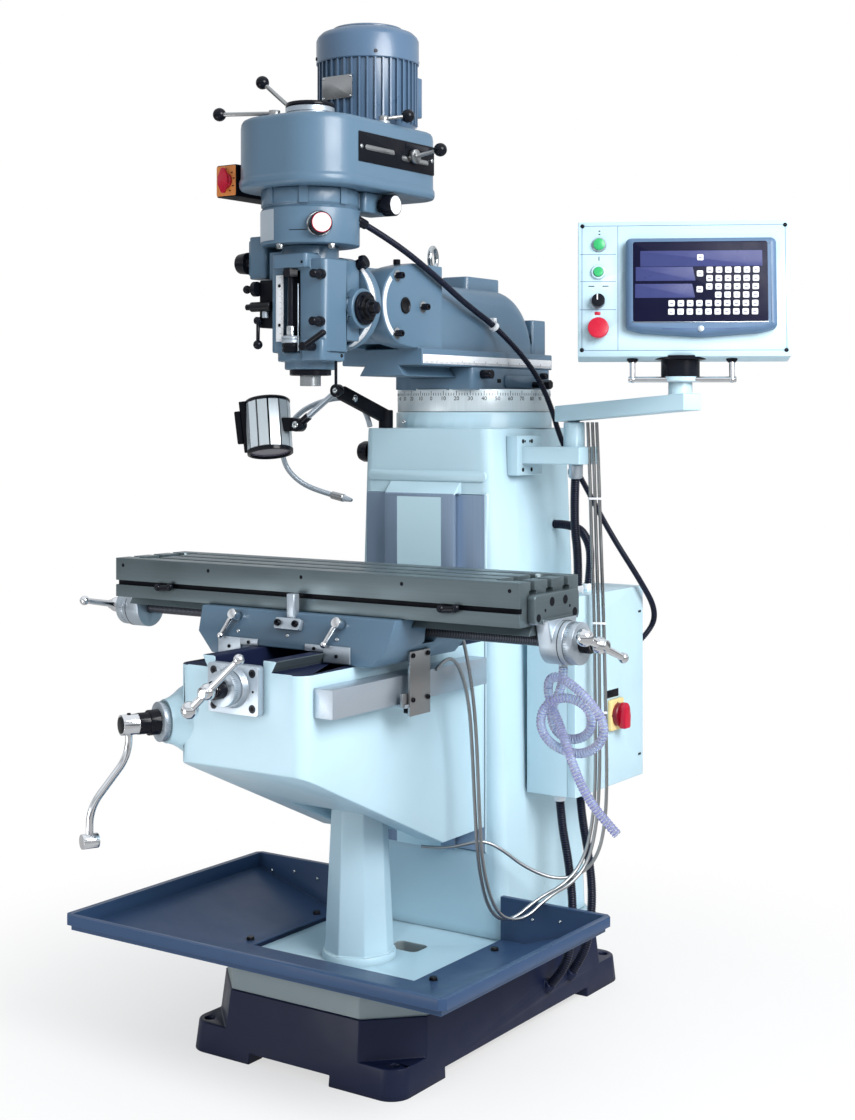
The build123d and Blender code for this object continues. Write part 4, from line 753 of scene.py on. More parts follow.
def stretch_of(line, first, last, step):
    """The line's points between two distances, about a step apart."""
    far = along(line)
    at = np.linspace(first, last, max(3, int(round((last - first) / step)) + 1))
    return np.stack([np.interp(at, far, line[:, k]) for k in range(3)], axis=1)


def whole(route, step):
    """Points about a step apart along all of a route's curve."""
    line = smooth_line(route)
    return stretch_of(line, 0, along(line)[-1], step)


def ribs(count, low, high, shape=(0, 1, 1, 0)):
    """Radii for so many points that rise and fall between two values in a repeated pattern."""
    return low + (high - low) * np.resize(np.asarray(shape, float), count)


def nearest(line, point):
    """How far along a line its nearest point to a place is."""
    return along(line)[np.linalg.norm(line - np.asarray(point, float), axis=1).argmin()]


def lay_cord(name, finishes, line, radii, steady, count, body, node_name):
    """Makes one stretch of a cord as a tube on its line, hides the cord's node and hangs the stretch on a
    body where one is given.

    Where there are two finishes, the second one is on the faces between two of the widest rings.
    """
    made = Piece(name).add(finishes[0], tube(line, radii, steady, count)).done(smooth=60)
    if len(finishes) > 1:
        made.data.materials.append(finish(finishes[1]))
        ridge = np.minimum(radii[:-1], radii[1:]) > (min(radii) + max(radii)) / 2
        number = np.append(np.repeat(ridge, count), [False, False])
        made.data.polygons.foreach_set("material_index", number.astype(int).tolist())
    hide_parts(node_name)
    if body:
        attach(made, body)
    return made


class MILL_OT_cords(bpy.types.Operator):
    """Lay the conduits, scale cables, gooseneck and coolant hose along their routes"""

    bl_idname = "mill.cords"
    bl_label = "Cords"

    def execute(self, context):
        self.head_conduit()
        self.cabinet_conduits()
        self.scale_cables()
        self.gooseneck()
        self.coolant_hose()
        return {"FINISHED"}

    def head_conduit(self):
        """A ribbed conduit from the clutch box to the cabinet, in one stretch for each joint it crosses."""
        line = smooth_line(HEAD_CONDUIT)
        cuts = [(112, -200, 1718), (113, -70, 1665), (213, 236, 1405)]
        ends = [0, *(nearest(line, cut) for cut in cuts), along(line)[-1]]
        blends = [
            ("head", "adapter", (98, -310, 1762), (112, -215, 1724)),
            ("adapter", "ram", (112, -195, 1716), (113, -80, 1669)),
            ("ram", "turret", (99, 170, 1580), (205, 235, 1415)),
            ("turret", "frame", (213, 236, 1400), (300, 262, 1190)),
        ]
        for number, (first, second, leave, arrive) in enumerate(blends):
            points = stretch_of(line, ends[number], ends[number + 1], 1.2)
            radii = ribs(len(points), 5.7, 7.0)
            name = f"head_conduit_{number + 1}"
            made = lay_cord(name, RIBBED, points, radii, X, 14, None, "head_conduit")
            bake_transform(made)
        start = nearest(line, (104, 165, 1582))
        spot = stretch_of(line, start, start + 2, 1)
        ring = [(7.2, 5), (7.2, -5), (11.5, -5), (11.5, 5), (7.2, 5)]
        clip = turned(ring, stand(spot[0], spot[-1] - spot[0]), 28, **OPEN)
        foot = block((86, 172, 1584), (101, 184, 1596), 3, 1)
        Piece("conduit_clip").add("white_face", clip, foot).done("ram")

    def cabinet_conduits(self):
        """Four ribbed conduits at the cabinet: two into its top and two from its underside to the base."""
        for number, route in enumerate(CABINET_CONDUITS, 1):
            points = whole(route, 1.3)
            radii = ribs(len(points), 9.0, 10.5)
            name = f"cabinet_conduit_{number}"
            lay_cord(name, RIBBED, points, radii, Y, 16, "frame", "machine_cables")

    def scale_cables(self):
        """Three armoured cables from the pendant to the scales, loose between frame, knee and saddle."""
        loose_from = (378, 155, 560)
        steady = (0.9, -0.3, 0.02)
        cuts = [(240, -131, 520), (250, -129, 520), None]
        for number, (route, cut) in enumerate(zip(SCALE_CABLES, cuts), 1):
            line = smooth_line(route)
            stops = [0, along(line)[-1]]
            blends = [("drop", "frame", "knee", loose_from, cut or route[-3])]
            if cut:
                stops.insert(1, nearest(line, cut))
                blends.append(("rise", "knee", "saddle", cut, route[-2]))
            for part, (word, first, second, leave, arrive) in enumerate(blends):
                points = stretch_of(line, stops[part], stops[part + 1], 2.2)
                radii = ribs(len(points), 3.7, 4.1, (0, 1))
                name = f"scale_cable_{number}_{word}"
                made = lay_cord(
                    name, ["cable_steel"], points, radii, steady, 10, None, "machine_cables"
                )
                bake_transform(made)
        ties = Piece("cable_ties")
        drops = [np.array(route[:8]) for route in SCALE_CABLES]
        for z in (1180, 900, 700):
            places = [[np.interp(-z, -drop[:, 2], drop[:, k]) for k in (0, 1)] for drop in drops]
            at = stand((*np.mean(places, axis=0), z), Z, (0.95, 0.3, 0))
            ties.add("white_face", slab(oblong(32, 11, 5), -2.5, 2.5, at, 0.6))
        ties.done("frame")

    def gooseneck(self):
        """A jointed metal hose on the column's left, with a turned nozzle on its end."""
        points = whole(GOOSENECK, 1.0)
        radii = ribs(len(points), 5.6, 6.5, (0, 1, 1))
        tip = stand(points[-1], points[-1] - points[-4])
        nose = [(8.2, -11), (4.8, 11), (3.4, 14), (2.4, 13.5), (2, 8)]
        sleeve = [(6.9, -47), (9.2, -46), (9.4, -12), (8, -10.5)]
        nozzle = Piece("gooseneck_nozzle").add("silver", turned(nose, tip))
        nozzle = nozzle.add("cable_steel", turned(sleeve, tip)).done("frame")
        lay_cord("gooseneck", ["silver"], points, radii, Y, 16, "frame", "coolant_gooseneck")

    def coolant_hose(self):
        """A clear ribbed drain hose that loops twice under the table's right end and hangs open."""
        points = whole(COOLANT_HOSE, 1.3)
        radii = ribs(len(points), 8.4, 9.5, (0, 0.3, 1, 1, 0.3))
        lay_cord("ribbed_hose", HOSE, points, radii, Y, 18, "work_table", "coolant_hose")


# Fittings

FACES = {"front": (-Y, X), "right": (X, Y), "left": (-X, -Y), "up": (Z, X)}


def facing(way, x, y, z):
    """A frame on a face of the machine, with its z axis out of the face."""
    return stand((x, y, z), *FACES[way])


def moved(at, x, y, z=0.0):
    """A frame moved along its own axes."""
    return put((x, y, z), at), at[1]


def lengths(count, every, short, long):
    """Half the length of each of so many graduations, the long one first in each group."""
    return np.where(np.arange(count) % every, short, long)[:, None]


def dial_lines(at, radius, low, high, degrees, thick=0.4):
    """Graduations on a cylinder at the given angles: bars along its axis, each fifth one longer."""
    out = around(degrees)
    half = lengths(len(degrees), 5, 0.28, 0.5) * (high - low)
    centres = (radius - 0.1) * out + (low + half) * Z
    return bars(at, centres, half * Z, around(degrees - 90) * thick / 2, out * 0.25)


def fan_lines(at, low, high, degrees):
    """Graduations on a flat arc: bars along its radius at the given angles, each fourth one longer."""
    out = around(degrees)
    half = lengths(len(degrees), 4, 0.28, 0.5) * (high - low)
    return bars(at, (low + half) * out, half * out, around(degrees + 90) * 0.25, Z * 0.3)


def ruler_lines(at, long, wide, step, every=5, thick=0.5):
    """Graduations across a flat strip: bars up from its lower edge, a step apart along its x axis."""
    x = np.arange(-long / 2 + step, long / 2, step)[:, None]
    half = lengths(len(x), every, 0.14, 0.24) * wide
    return bars(at, x * X + (half - wide / 2) * Y, half * Y, -X * thick / 2, Z * 0.25)


def arc_band(at, inner, outer, low, high, first, last, count=28):
    """A curved strip: a rectangle between two radii and heights, carried from one angle to another."""
    out = around(np.linspace(first, last, count))
    corners = [(inner, low), (inner, high), (outer, high), (outer, low)]
    rings = np.stack([radius * out + height * Z for radius, height in corners], axis=1)
    return skin(put(rings, at))


def washer_bolt(piece, at, radius, high):
    """A socket screw on a bright washer, added to a piece."""
    washer = [(radius * 1.7, 0), (radius * 1.7, 1.4), (radius * 1.55, 1.8)]
    piece.add("steel", turned(washer, at, 28, start=False))
    piece.add("black_plastic", cap_screw(moved(at, 0, 0, 1.6), radius, high))


def top_of(node_name, at):
    """How far a node reaches along a frame's z axis from its origin."""
    points = vectors(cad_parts[node_name].data.vertices, "co") / MM
    return float(((points - at[0]) @ at[1][2]).max())


# Tests for softened's where: each one is given the faces' centres and normals as c and n


def within(x=(-INF, INF), y=(-INF, INF), z=(-INF, INF)):
    """Holds for faces whose centres lie between two values along each axis."""
    low, high = np.transpose([x, y, z])
    return lambda c, n: ((c > low) & (c < high)).all(axis=1)


def paired(low, high):
    """Holds for faces between two distances to the left and to the right of the middle."""
    return lambda c, n: (np.abs(c[:, 0]) > low) & (np.abs(c[:, 0]) < high)


def near(place, distance):
    """Holds for faces within a distance of a place."""
    return lambda c, n: np.linalg.norm(c - np.asarray(place, float), axis=1) < distance


def off(c, axis):
    """How far points are from an upright axis."""
    return np.hypot(c[:, 0] - axis[0], c[:, 1] - axis[1])


class MILL_OT_stand(bpy.types.Operator):
    """Paint and fit out the base, the tray, the column and the cabinet"""

    bl_idname = "mill.stand"
    bl_label = "Stand"

    def execute(self, context):
        self.base()
        self.column()
        self.cabinet()
        return {"FINISHED"}

    def base(self):
        """A dark base with a pale grey band that is painted shade, the white paint as it looks in the tray's
        shadow, a white pad, and the tray's bolts and rivets.
        """

        def pad(c, n):
            return within(z=(185, 187))(c, n) & (n[:, 2] > 0.9)

        # The band's side faces take the grey of painted shade under the tray
        def band(c, n):
            return within(z=(144, 186))(c, n) & (n[:, 2] < 0.5)

        parts = [("band_paint", band), ("white_paint", pad)]
        softened("base_casting", "frame", "base_paint", cast_edge(), parts)
        softened("chip_tray", "frame", "tray_paint", fine_edge(), segments=2)
        softened("knee_screw_pedestal", "frame", "white_paint", cast_edge())
        dress("steel", "elevating_screw")
        fittings = Piece("stand_fittings")
        foot = [(80.5, 186), (80.5, 199), (78, 202), (66, 204), (62, 209), (60, 218)]
        fittings.add("white_paint", turned(foot, stand((0, -225, 0)), 48, **OPEN))
        bolts = [facing("up", x, y, 197) for x in (-246, 246) for y in (-300, -60)]
        fittings.add("dark_steel", *(hex_bolt(at, 9) for at in bolts))
        for x in (-440, -370, -300, 300, 370, 440):
            rivet = facing("front", x, 11.5, 262 - abs(abs(x) - 370) * 0.1)
            fittings.add("steel", domed_screw(rivet, 4))
        fittings.done("frame")

    def column(self):
        """A white column with ground flanks and way edges in a lightened iron that is painted light, a bead
        above them, small plugs, and holes drawn as black discs of painted shade.
        """
        # The ways take the lightened iron of painted light
        ways = within((-167, 167), (-INF, 30.5), (379, 1187.9))
        softened("column_casting", "frame", "white_paint", cast_edge(), [("iron_along_z", ways)])
        fitting = within(x=(290, INF), z=(-INF, 1249))
        softened("pendant_bracket", "frame", "white_paint", cast_edge(), [("silver", fitting)])
        extras = Piece("column_fittings")
        extras.add("white_paint", slab(oblong(330, 26, 12.5), -8, 3, facing("front", 2, 31, 1228), 2.9))
        # The way's white strip in the brightened white of painted light
        extras.add("way_paint", plate(oblong(122, 801, 1), [(0, -1), (0, 0.3)], facing("front", 0, 5, 780)))
        plug = [(25, 0), (25, 18), (21, 28), (12, 32)]
        extras.add("black_plastic", turned(plug, facing("left", -176, 62, 1281), 32, start=False))
        # Painted shade: the holes are flat black discs that stand for the shade inside them
        holes = [
            (112, 1308, 5), (121, 1308, 3), (142, 1308, 3), (151, 1308, 5), (112, 1243, 5), (150, 1243, 5),
        ]
        for y, z, radius in holes:
            extras.add("black_matte", dot(facing("right", 215, y, z), radius))
        gland = [(11, -34), (11, -25), (17, -24), (17, -13), (14, -12), (14, 0)]
        extras.add("steel", turned(gland, stand((330, 150, 1258)), 24))
        extras.add("steel", domed_screw(facing("front", -60, 31, 1352), 5))
        extras.done("frame")

    def cabinet(self):
        """A sheet cabinet with a lipped door, a switch plate, a blank label and white cable glands."""
        softened("cabinet_box", "frame", "white_paint", fine_edge(), segments=2)
        softened("cabinet_door", "cabinet_door", "white_paint", fine_edge(2))
        switch = facing("right", DOOR_FACE, 298, 673)
        label = facing("right", DOOR_FACE, 290, 722)
        door = Piece("door_fittings").add("cream_face", slab(oblong(64, 72, 6), 0, 9, switch, 2))
        door.add("black_matte", slab(oblong(56, 18, 1), 0, 0.4, label, 0.2))
        for mark in 27 * around((90, 180)):
            door.add("black_matte", slab(oblong(5, 3, 0.5), 9, 9.3, moved(switch, *mark), 0.1))
        for z in (560, 900):
            door.add("dark_steel", slab(oblong(14, 5, 2), 0, 1, facing("right", DOOR_FACE, 425, z), 0.4))
        door.done("cabinet_door")
        turn = facing("right", 359.5, 298, 673)
        lens = rounded([(-12, -31), (14, -31), (16, -4), (11, 20), (0, 32), (-11, 20), (-15, -4)], 6)
        knob = Piece("switch_handle").add("dark_red", turned([(27, 0), (27, 9), (25, 11)], turn, 32))
        knob.add("red_plastic", slab(lens, 8, 28, turn, 5))
        knob.done("main_switch_knob", ["main_switch_knob"])
        glands = Piece("cabinet_glands")
        profile = [(15, -1, 6), (15, 6, 6), (13.5, 7), (13.5, 15), (12.2, 18)]
        ends = [(route[-1], 960, Z) for route in CABINET_CONDUITS[:2]]
        ends += [(route[0], 509, -Z) for route in CABINET_CONDUITS[2:]]
        for (x, y, _), z, way in ends:
            glands.add("white_face", turned(profile, stand((x, y, z), way), 24))
        glands.done("frame")


class MILL_OT_head(bpy.types.Operator):
    """Fit out the belt housing, motor, gear housing and head"""

    bl_idname = "mill.head"
    bl_label = "Head"

    def execute(self, context):
        self.belt_housing()
        self.motor()
        self.levers()
        self.drum_switch()
        self.gear_housing()
        self.casting()
        self.feed_box()
        return {"FINISHED"}

    def belt_housing(self):
        """A smooth cover with a rounded lip below, a slotted plate on its side and the spindle's cap."""
        shape = rounded([(-143, -530), (143, -530), (143, -100), (-143, -100)], [110, 110, 60, 60], 12)
        steps = [
            (9, 1838), (4, 1839.4), (1.2, 1842.5), (0, 1847), (0, 1855), (1.2, 1859),
            (3, 1861.2), (3.4, 1866), (3.4, 1968), (4.6, 1976), (8, 1982), (14, 1985),
        ]
        cover = Piece("belt_housing_dressed").add("machine_paint", plate(shape, steps, stand((0, 0, 0))))
        axis = stand((*SPINDLE, 0))
        cover.add("machine_paint", turned([(56, 1983), (54, 1986.5), (50, 1988)], axis, start=False))
        cap = [(49, 1986), (49, 2002), (51, 2003), (51, 2013), (49.5, 2014.5)]
        cover.add("silver", turned(cap, axis, 56))
        lid = [(52, 2014.5), (52.5, 2016), (52.5, 2020), (50, 2023), (30, 2024.5)]
        cover.add("black_plastic", turned(lid, axis, 56))
        plates = [
            ("black_matte", (276, 62, 2), (0, 1.6), (-279, 1921), 0.4),
            ("cable_steel", (104, 11, 5), (1.4, 3), (-344, 1921), 0.7),
            ("cable_steel", (100, 11, 5), (1.4, 3), (-215, 1914), 0.7),
            ("black_plastic", (86, 16, 3), (1.0, 2.4), (-207, 1941), 0.4),
        ]
        for name, size, heights, place, rim in plates:
            cover.add(name, slab(oblong(*size), *heights, facing("right", 139.6, *place), rim))
        cover.add("steel", *(domed_screw(facing("right", 141.2, y, 1921), 5) for y in (-408, -150)))
        cover.done("head", ["belt_housing"])
        dress("silver", "spindle_pulley", "motor_pulley")
        dress("belt_rubber", "drive_belt")

    def motor(self):
        """A ribbed motor with a bare data plate, four cover screws and a raised ring on top."""
        axis = stand((*MOTOR, 0))
        core = [(104, 1985), (104, 2002), (105, 2004), (105, 2138)]
        dome = [(111, 2136), (113, 2138), (113, 2188), (110, 2195), (102, 2203), (78, 2212)]
        body = Piece("motor_dressed").add("motor_grey", turned(core, axis, 64), turned(dome, axis, 64))
        turns = np.arange(40) * 9.0
        out = around(turns)
        fins = bars(stand((*MOTOR, 2070)), 103 * out, Z * 67, around(turns - 90) * 1.9, out * 7.5)
        body.add("motor_grey", fins, block((-22, -114, 2030), (72, -84, 2118), 5, 2))
        body.done("head", ["motor"])
        data_plate = facing("front", -1, -304, 2073)
        extras = Piece("motor_fittings").add("cable_steel", slab(oblong(80, 50, 2), -2, 1, data_plate, 0.4))
        for x in (-36, 36):
            for z in (-21, 21):
                extras.add("steel", domed_screw(moved(data_plate, x, z, 1), 2.4))
        ring = [(79, 2210), (79, 2213), (76, 2215.5), (60, 2216)]
        extras.add("motor_grey", turned(ring, axis, 64))
        for out in around((-45, 45, 135, 225)):
            extras.add("dark_steel", hex_bolt(stand((*MOTOR, 2148) + 112.6 * out, out), 4, 2.5))
        extras.done("head")

    def levers(self):
        """Dark arms with black balls on the belt housing's top and side."""
        tips = {
            "brake_lever": (-206, -451, 2013), "motor_lock_lever_left": (-134, -394, 2083),
            "motor_lock_lever_right": (143, -244, 2006), "belt_tension_lever": (200, -205, 1934),
        }
        for name, tip in tips.items():
            parts = [("black_plastic", near(tip, 16))]
            softened(name, name, "cable_steel", 0.4, parts, segments=1, sharp=60)
            Piece(f"{name}_ball").add("black_plastic", ball(tip, 14.5)).done(name)
        collar = [(14, 1985.4), (14, 1990), (12.6, 1991.5)]
        hubs = {
            "brake_lever": (-63, -440), "motor_lock_lever_left": (-64, -388),
            "motor_lock_lever_right": (112, -290),
        }
        for name, place in hubs.items():
            made = turned(collar, stand((*place, 0)), 28, start=False)
            Piece(f"{name}_collar").add("silver", made).done("head")

    def drum_switch(self):
        """A black drum switch with an orange face, plain marks and a red lens-shaped handle."""
        softened("drum_switch_box", "head", "black_matte", fine_edge(2))
        face = facing("front", -170, -470, 1866)
        front = Piece("drum_switch_face").add("orange_face", slab(oblong(53, 64, 3), 0, 1.5, face, 0.5))
        for x, y, _ in around((90, 42, 10, -28, -60)):
            mark = moved(face, 22 * x, 25 * y, 1.5)
            front.add("black_matte", slab(oblong(5, 2.4, 0.6), 0, 0.3, mark, 0.1))
        front.done("head")
        lens = rounded([(-4, -27), (4, -27), (14, -8), (14, 8), (4, 27), (-4, 27), (-14, 8), (-14, -8)], 4)
        boss = turned([(17, 1.6), (17, 7), (15, 9)], face, 32)
        handle = Piece("drum_switch_handle").add("red_plastic", boss, slab(lens, 7, 15, face, 3))
        handle.done("drum_switch_knob", ["drum_switch_knob"])

    def gear_housing(self):
        """A drum with ribs below the belt housing, a bright cover, white-faced knobs and nuts under it."""

        def outlet(c, n):
            return near((92, -330, 1770), 32)(c, n) & (off(c, SPINDLE) > 105.5)

        softened("gear_housing", "head", "machine_paint", cast_edge(), [("black_plastic", outlet)])
        axis = stand((*SPINDLE, 0))
        extras = Piece("gear_housing_fittings")
        extras.add("silver", arc_band(axis, 100, 105.2, 1729, 1793, 184, 262))
        for degrees in (205, 254, 300, 350):
            rib = arc_band(axis, 98, 104.8, 1804, 1839, degrees - 5, degrees + 5, 6)
            extras.add("machine_paint", rib)
        extras.add("dark_steel", arc_band(axis, 103, 104.3, 1747, 1748.6, 283, 304, 8))
        for out in around((-96, -23, 130)):
            extras.add("steel", hex_bolt(stand((*SPINDLE, 1722) + 90 * out, -Z), 8, 11))
        gear = stand((*SPINDLE, 1760), around(-42))
        extras.add("steel", turned([(27, 99), (27, 108), (25, 110.5)], gear, 40))
        extras.done("head")
        knob = Piece("back_gear_knob_dressed")
        knob.add("black_plastic", turned([(21, 111), (23, 113), (23, 130), (22, 132)], gear, 40))
        knob.add("red_plastic", turned([(20.5, 131.9), (20.5, 132.6), (19, 132.9)], gear, 40, start=False))
        knob.add("white_face", turned([(19, 132.6), (19, 133.4), (17, 133.8)], gear, 40, start=False))
        knob.done("back_gear_knob", ["back_gear_knob"])
        clutch = facing("right", 0, -285, 1812)
        grip = [(14, 100.5), (14, 111), (20, 112.5), (23, 115), (23, 138), (21.5, 140)]
        knob = Piece("clutch_knob_dressed").add("black_plastic", turned(grip, clutch, 40))
        knob.add("white_face", turned([(19.5, 139.6), (19.5, 140.6), (17.5, 141)], clutch, 40, start=False))
        knob.done("clutch_knob", ["clutch_knob"])

    def casting(self):
        """The head's casting with its black quill collar, quill feed hub and quill lock lever."""
        softened("head_casting", "head", "machine_paint", cast_edge())
        dress("steel", "quill", "spindle")
        collar = [(42, 1451), (43.8, 1452), (43.8, 1463.5)]
        ring = turned(collar, stand((*SPINDLE, 0)), 48, **OPEN)
        Piece("quill_collar").add("black_plastic", ring).done("quill")
        self.head_fittings()
        grooves = [("dark_steel", within((113, 121))), ("dark_steel", within((124, 130)))]
        softened("quill_feed_hub", "quill_feed_hub", "black_plastic", 0.5, grooves, segments=2)
        stem = rod((63, -463, 1508), (63, -508, 1508), 9)
        bar = rod((58, -500, 1505), (116, -500, 1537), 6.5, 2)
        lock = Piece("quill_lock_lever_dressed").add("black_plastic", stem, bar)
        lock.done("quill_lock_lever", ["quill_lock_lever"])

    def head_fittings(self):
        """The head's depth scale, stop nuts, pins, protractor, nod bolt and the feed hub's screws."""
        extras = Piece("head_fittings")
        channel = facing("front", 0, -446.4, 1597)
        extras.add("black_matte", slab(oblong(42, 140, 2), 0, 0.6, channel, 0.2))
        nuts = [
            (19, 1517), (20, 1518), (20, 1523), (18.6, 1524), (18.6, 1526), (20, 1527), (20, 1530),
            (18, 1532),
        ]
        stop = [(19, 1499), (19, 1504), (17.5, 1505), (17.5, 1508), (19, 1509), (19, 1516)]
        stop_rod = [
            ("black_plastic", 36, [(17, 1654, 6), (17, 1671, 6)]),
            ("black_plastic", 24, [(6.5, 1552), (6.5, 1654)]),
            ("steel", 28, [(9.5, 1531), (9.5, 1551), (8.5, 1552.5)]),
            ("silver", 40, nuts),
            ("black_plastic", 40, stop),
        ]
        for name, count, profile in stop_rod:
            extras.add(name, turned(profile, stand((0, -463, 0)), count))
        extras.add("silver", rod((21, -466, 1500), (21, -466, 1640), 1.4, 0.3))
        scale = facing("front", -29.5, -463, 1590)
        extras.add("white_face", slab(oblong(19, 138, 0.6), 0, 1.8, scale, 0.3))
        extras.add("black_matte", ruler_lines(stand((-29.5, -464.8, 1590), -Y, Z), 136, 19, 2.6))
        for z in (1637, 1555):
            extras.add("black_plastic", domed_screw(facing("front", -29.5, -464.8, z), 3.6, 2.4))
        pin = [(11, -4), (11, 5), (9, 6), (9, 27), (7.5, 29)]
        for place in ((77, -462, 1657), (75, -462, 1560)):
            extras.add("black_plastic", turned(pin, facing("front", *place), 28))
        extras.add("black_matte", dot(facing("front", 40, -478, 1683), 3, 14))
        extras.add("black_plastic", domed_screw(facing("right", 86, -403, 1491), 4))
        extras.add("black_plastic", rod((78, -412, 1480), (78, -412, 1430), 3.2))
        flange = facing("front", 0, -300, 1606)
        extras.add("white_face", arc_band(flange, 99.5, 100.5, 3, 19, -66, 52))
        extras.add("black_matte", dial_lines(flange, 100.6, 4, 14, np.arange(-64, 51, 2.0)))
        bolt = stand((58, -331, 1679), (0.92, 0.1, 0.38))
        extras.add("black_plastic", rod(bolt[0], put((0, 0, 30), bolt), 11))
        extras.add("black_plastic", hex_bolt(moved(bolt, 0, 0, 29), 15, 10))
        hub = facing("right", 101, -345, 1592)
        for x, y, _ in 29 * around(np.arange(6) * 60):
            extras.add("black_plastic", cap_screw(stand(put((x, y, 9), hub), X), 2.6))
        extras.done("head")

    def feed_box(self):
        """The power feed's box on the left, with its dark linkage, a pin with a ball and a plunger."""
        box = Piece("feed_gearbox_dressed")
        box.add("machine_paint", block((-130, -445, 1656), (-84, -372, 1746), 8, 3))
        box.add("machine_paint", block((-134, -440, 1664), (-129, -378, 1738), 5, 2))
        box.add("black_matte", block((-100, -447, 1552), (-56, -385, 1652), 5, 2))
        knob = [(15, 0), (16, 1), (16, 10), (14, 12)]
        box.add("black_plastic", turned(knob, facing("left", -98, -452, 1634), 32))
        box.add("dark_steel", rod((-108, -452, 1634), (-122, -452, 1634), 5))
        box.add("dark_steel", rod((-58, -456, 1596), (-112, -456, 1596), 10.5))
        box.add("black_plastic", ball((-128, -452, 1634), 9))
        box.add("black_plastic", rod((-110, -456, 1596), (-126, -456, 1596), 6.5))
        box.add("silver", rod((-78, -452, 1600), (-78, -452, 1572), 7))
        box.done("head", ["feed_gearbox"])
        softened("feed_lever", "feed_lever", "black_plastic", 0.4, segments=1, sharp=60)
        softened("fine_feed_knob", "fine_feed_knob", "black_plastic", fine_edge(2))


class MILL_OT_ram(bpy.types.Operator):
    """Fit out the turret, the ram and the head's adapter"""

    bl_idname = "mill.ram"
    bl_label = "Ram"

    def execute(self, context):
        self.turret()
        self.ram()
        return {"FINISHED"}

    def turret(self):
        """The turret with its bright graduated ring, clamp bolt, raised panel and hexagon shaft."""

        def ring(c, n):
            return within(z=(1375.5, 1428))(c, n) & (np.abs(n[:, 2]) < 0.5) & (off(c, TURRET) > 175)

        softened("turret_casting", "turret", "machine_paint", cast_edge(0.6), [("ring_steel", ring)])
        extras = Piece("turret_fittings")
        lines = dial_lines(stand((*TURRET, 1375)), 184.1, 38, 49, np.arange(-180, 180, 2.0), 1.0)
        extras.add("black_matte", lines)
        for degrees in range(-170, 1, 10):
            out = around(degrees)
            at = stand((*TURRET, 1406) + 184.0 * out, out, around(degrees + 90))
            extras.add("black_matte", figures(abs(degrees + 90), 13, at))
        extras.add("machine_paint", slab(oblong(136, 30, 9), -2, 4, facing("right", 110, 268, 1447), 2.5))
        extras.add("black_matte", slab(oblong(17, 9, 1), -1, 0.4, facing("right", 110, 178, 1448), 0.2))
        extras.add("black_plastic", rod((108, 103, 1462), (138, 103, 1462), 10.5))
        extras.add("black_plastic", rod((106, 372, 1462), (126, 372, 1462), 8))
        extras.done("turret")
        dress("dark_steel", "ram_pinion_shaft")

    def ram(self):
        """The ram with its scale, the fork's protractors, their screws and the lifting eye."""
        softened("ram_casting", "ram", "machine_paint", cast_edge())
        softened("head_adapter", "adapter", "machine_paint", cast_edge())
        dress("steel", "lifting_eye")
        extras = Piece("ram_fittings")
        scale = facing("right", 110, 141, 1492)
        extras.add("white_face", slab(oblong(560, 20, 0.8), -1, 0.7, scale, 0.2))
        extras.add("black_matte", ruler_lines(moved(scale, 0, 0, 0.7), 556, 20, 5, 10, 1.0))
        plug = [(18, 0), (18, 1.8), (15, 2.6), (13, 1), (3, 1)]
        for way, x, first, last in (("right", 100, 133, 234), ("left", -100, -54, 47)):
            cheek = facing(way, x, *CHEEK)
            extras.add("white_face", arc_band(cheek, 72, 83, -1, 0.6, first, last))
            marks = fan_lines(moved(cheek, 0, 0, 0.6), 74, 81, np.arange(first + 2, last, 2.5))
            extras.add("black_matte", marks)
            for y, z in ((-223, 1669), (-125, 1606), (-225, 1544)):
                washer_bolt(extras, facing(way, x, y, z), 7.5, 15)
            extras.add("dark_steel", turned(plug, cheek, 36, start=False))
        extras.add("black_plastic", rod((58, -165, 1699), (58, -165, 1710), 8))
        extras.done("ram")


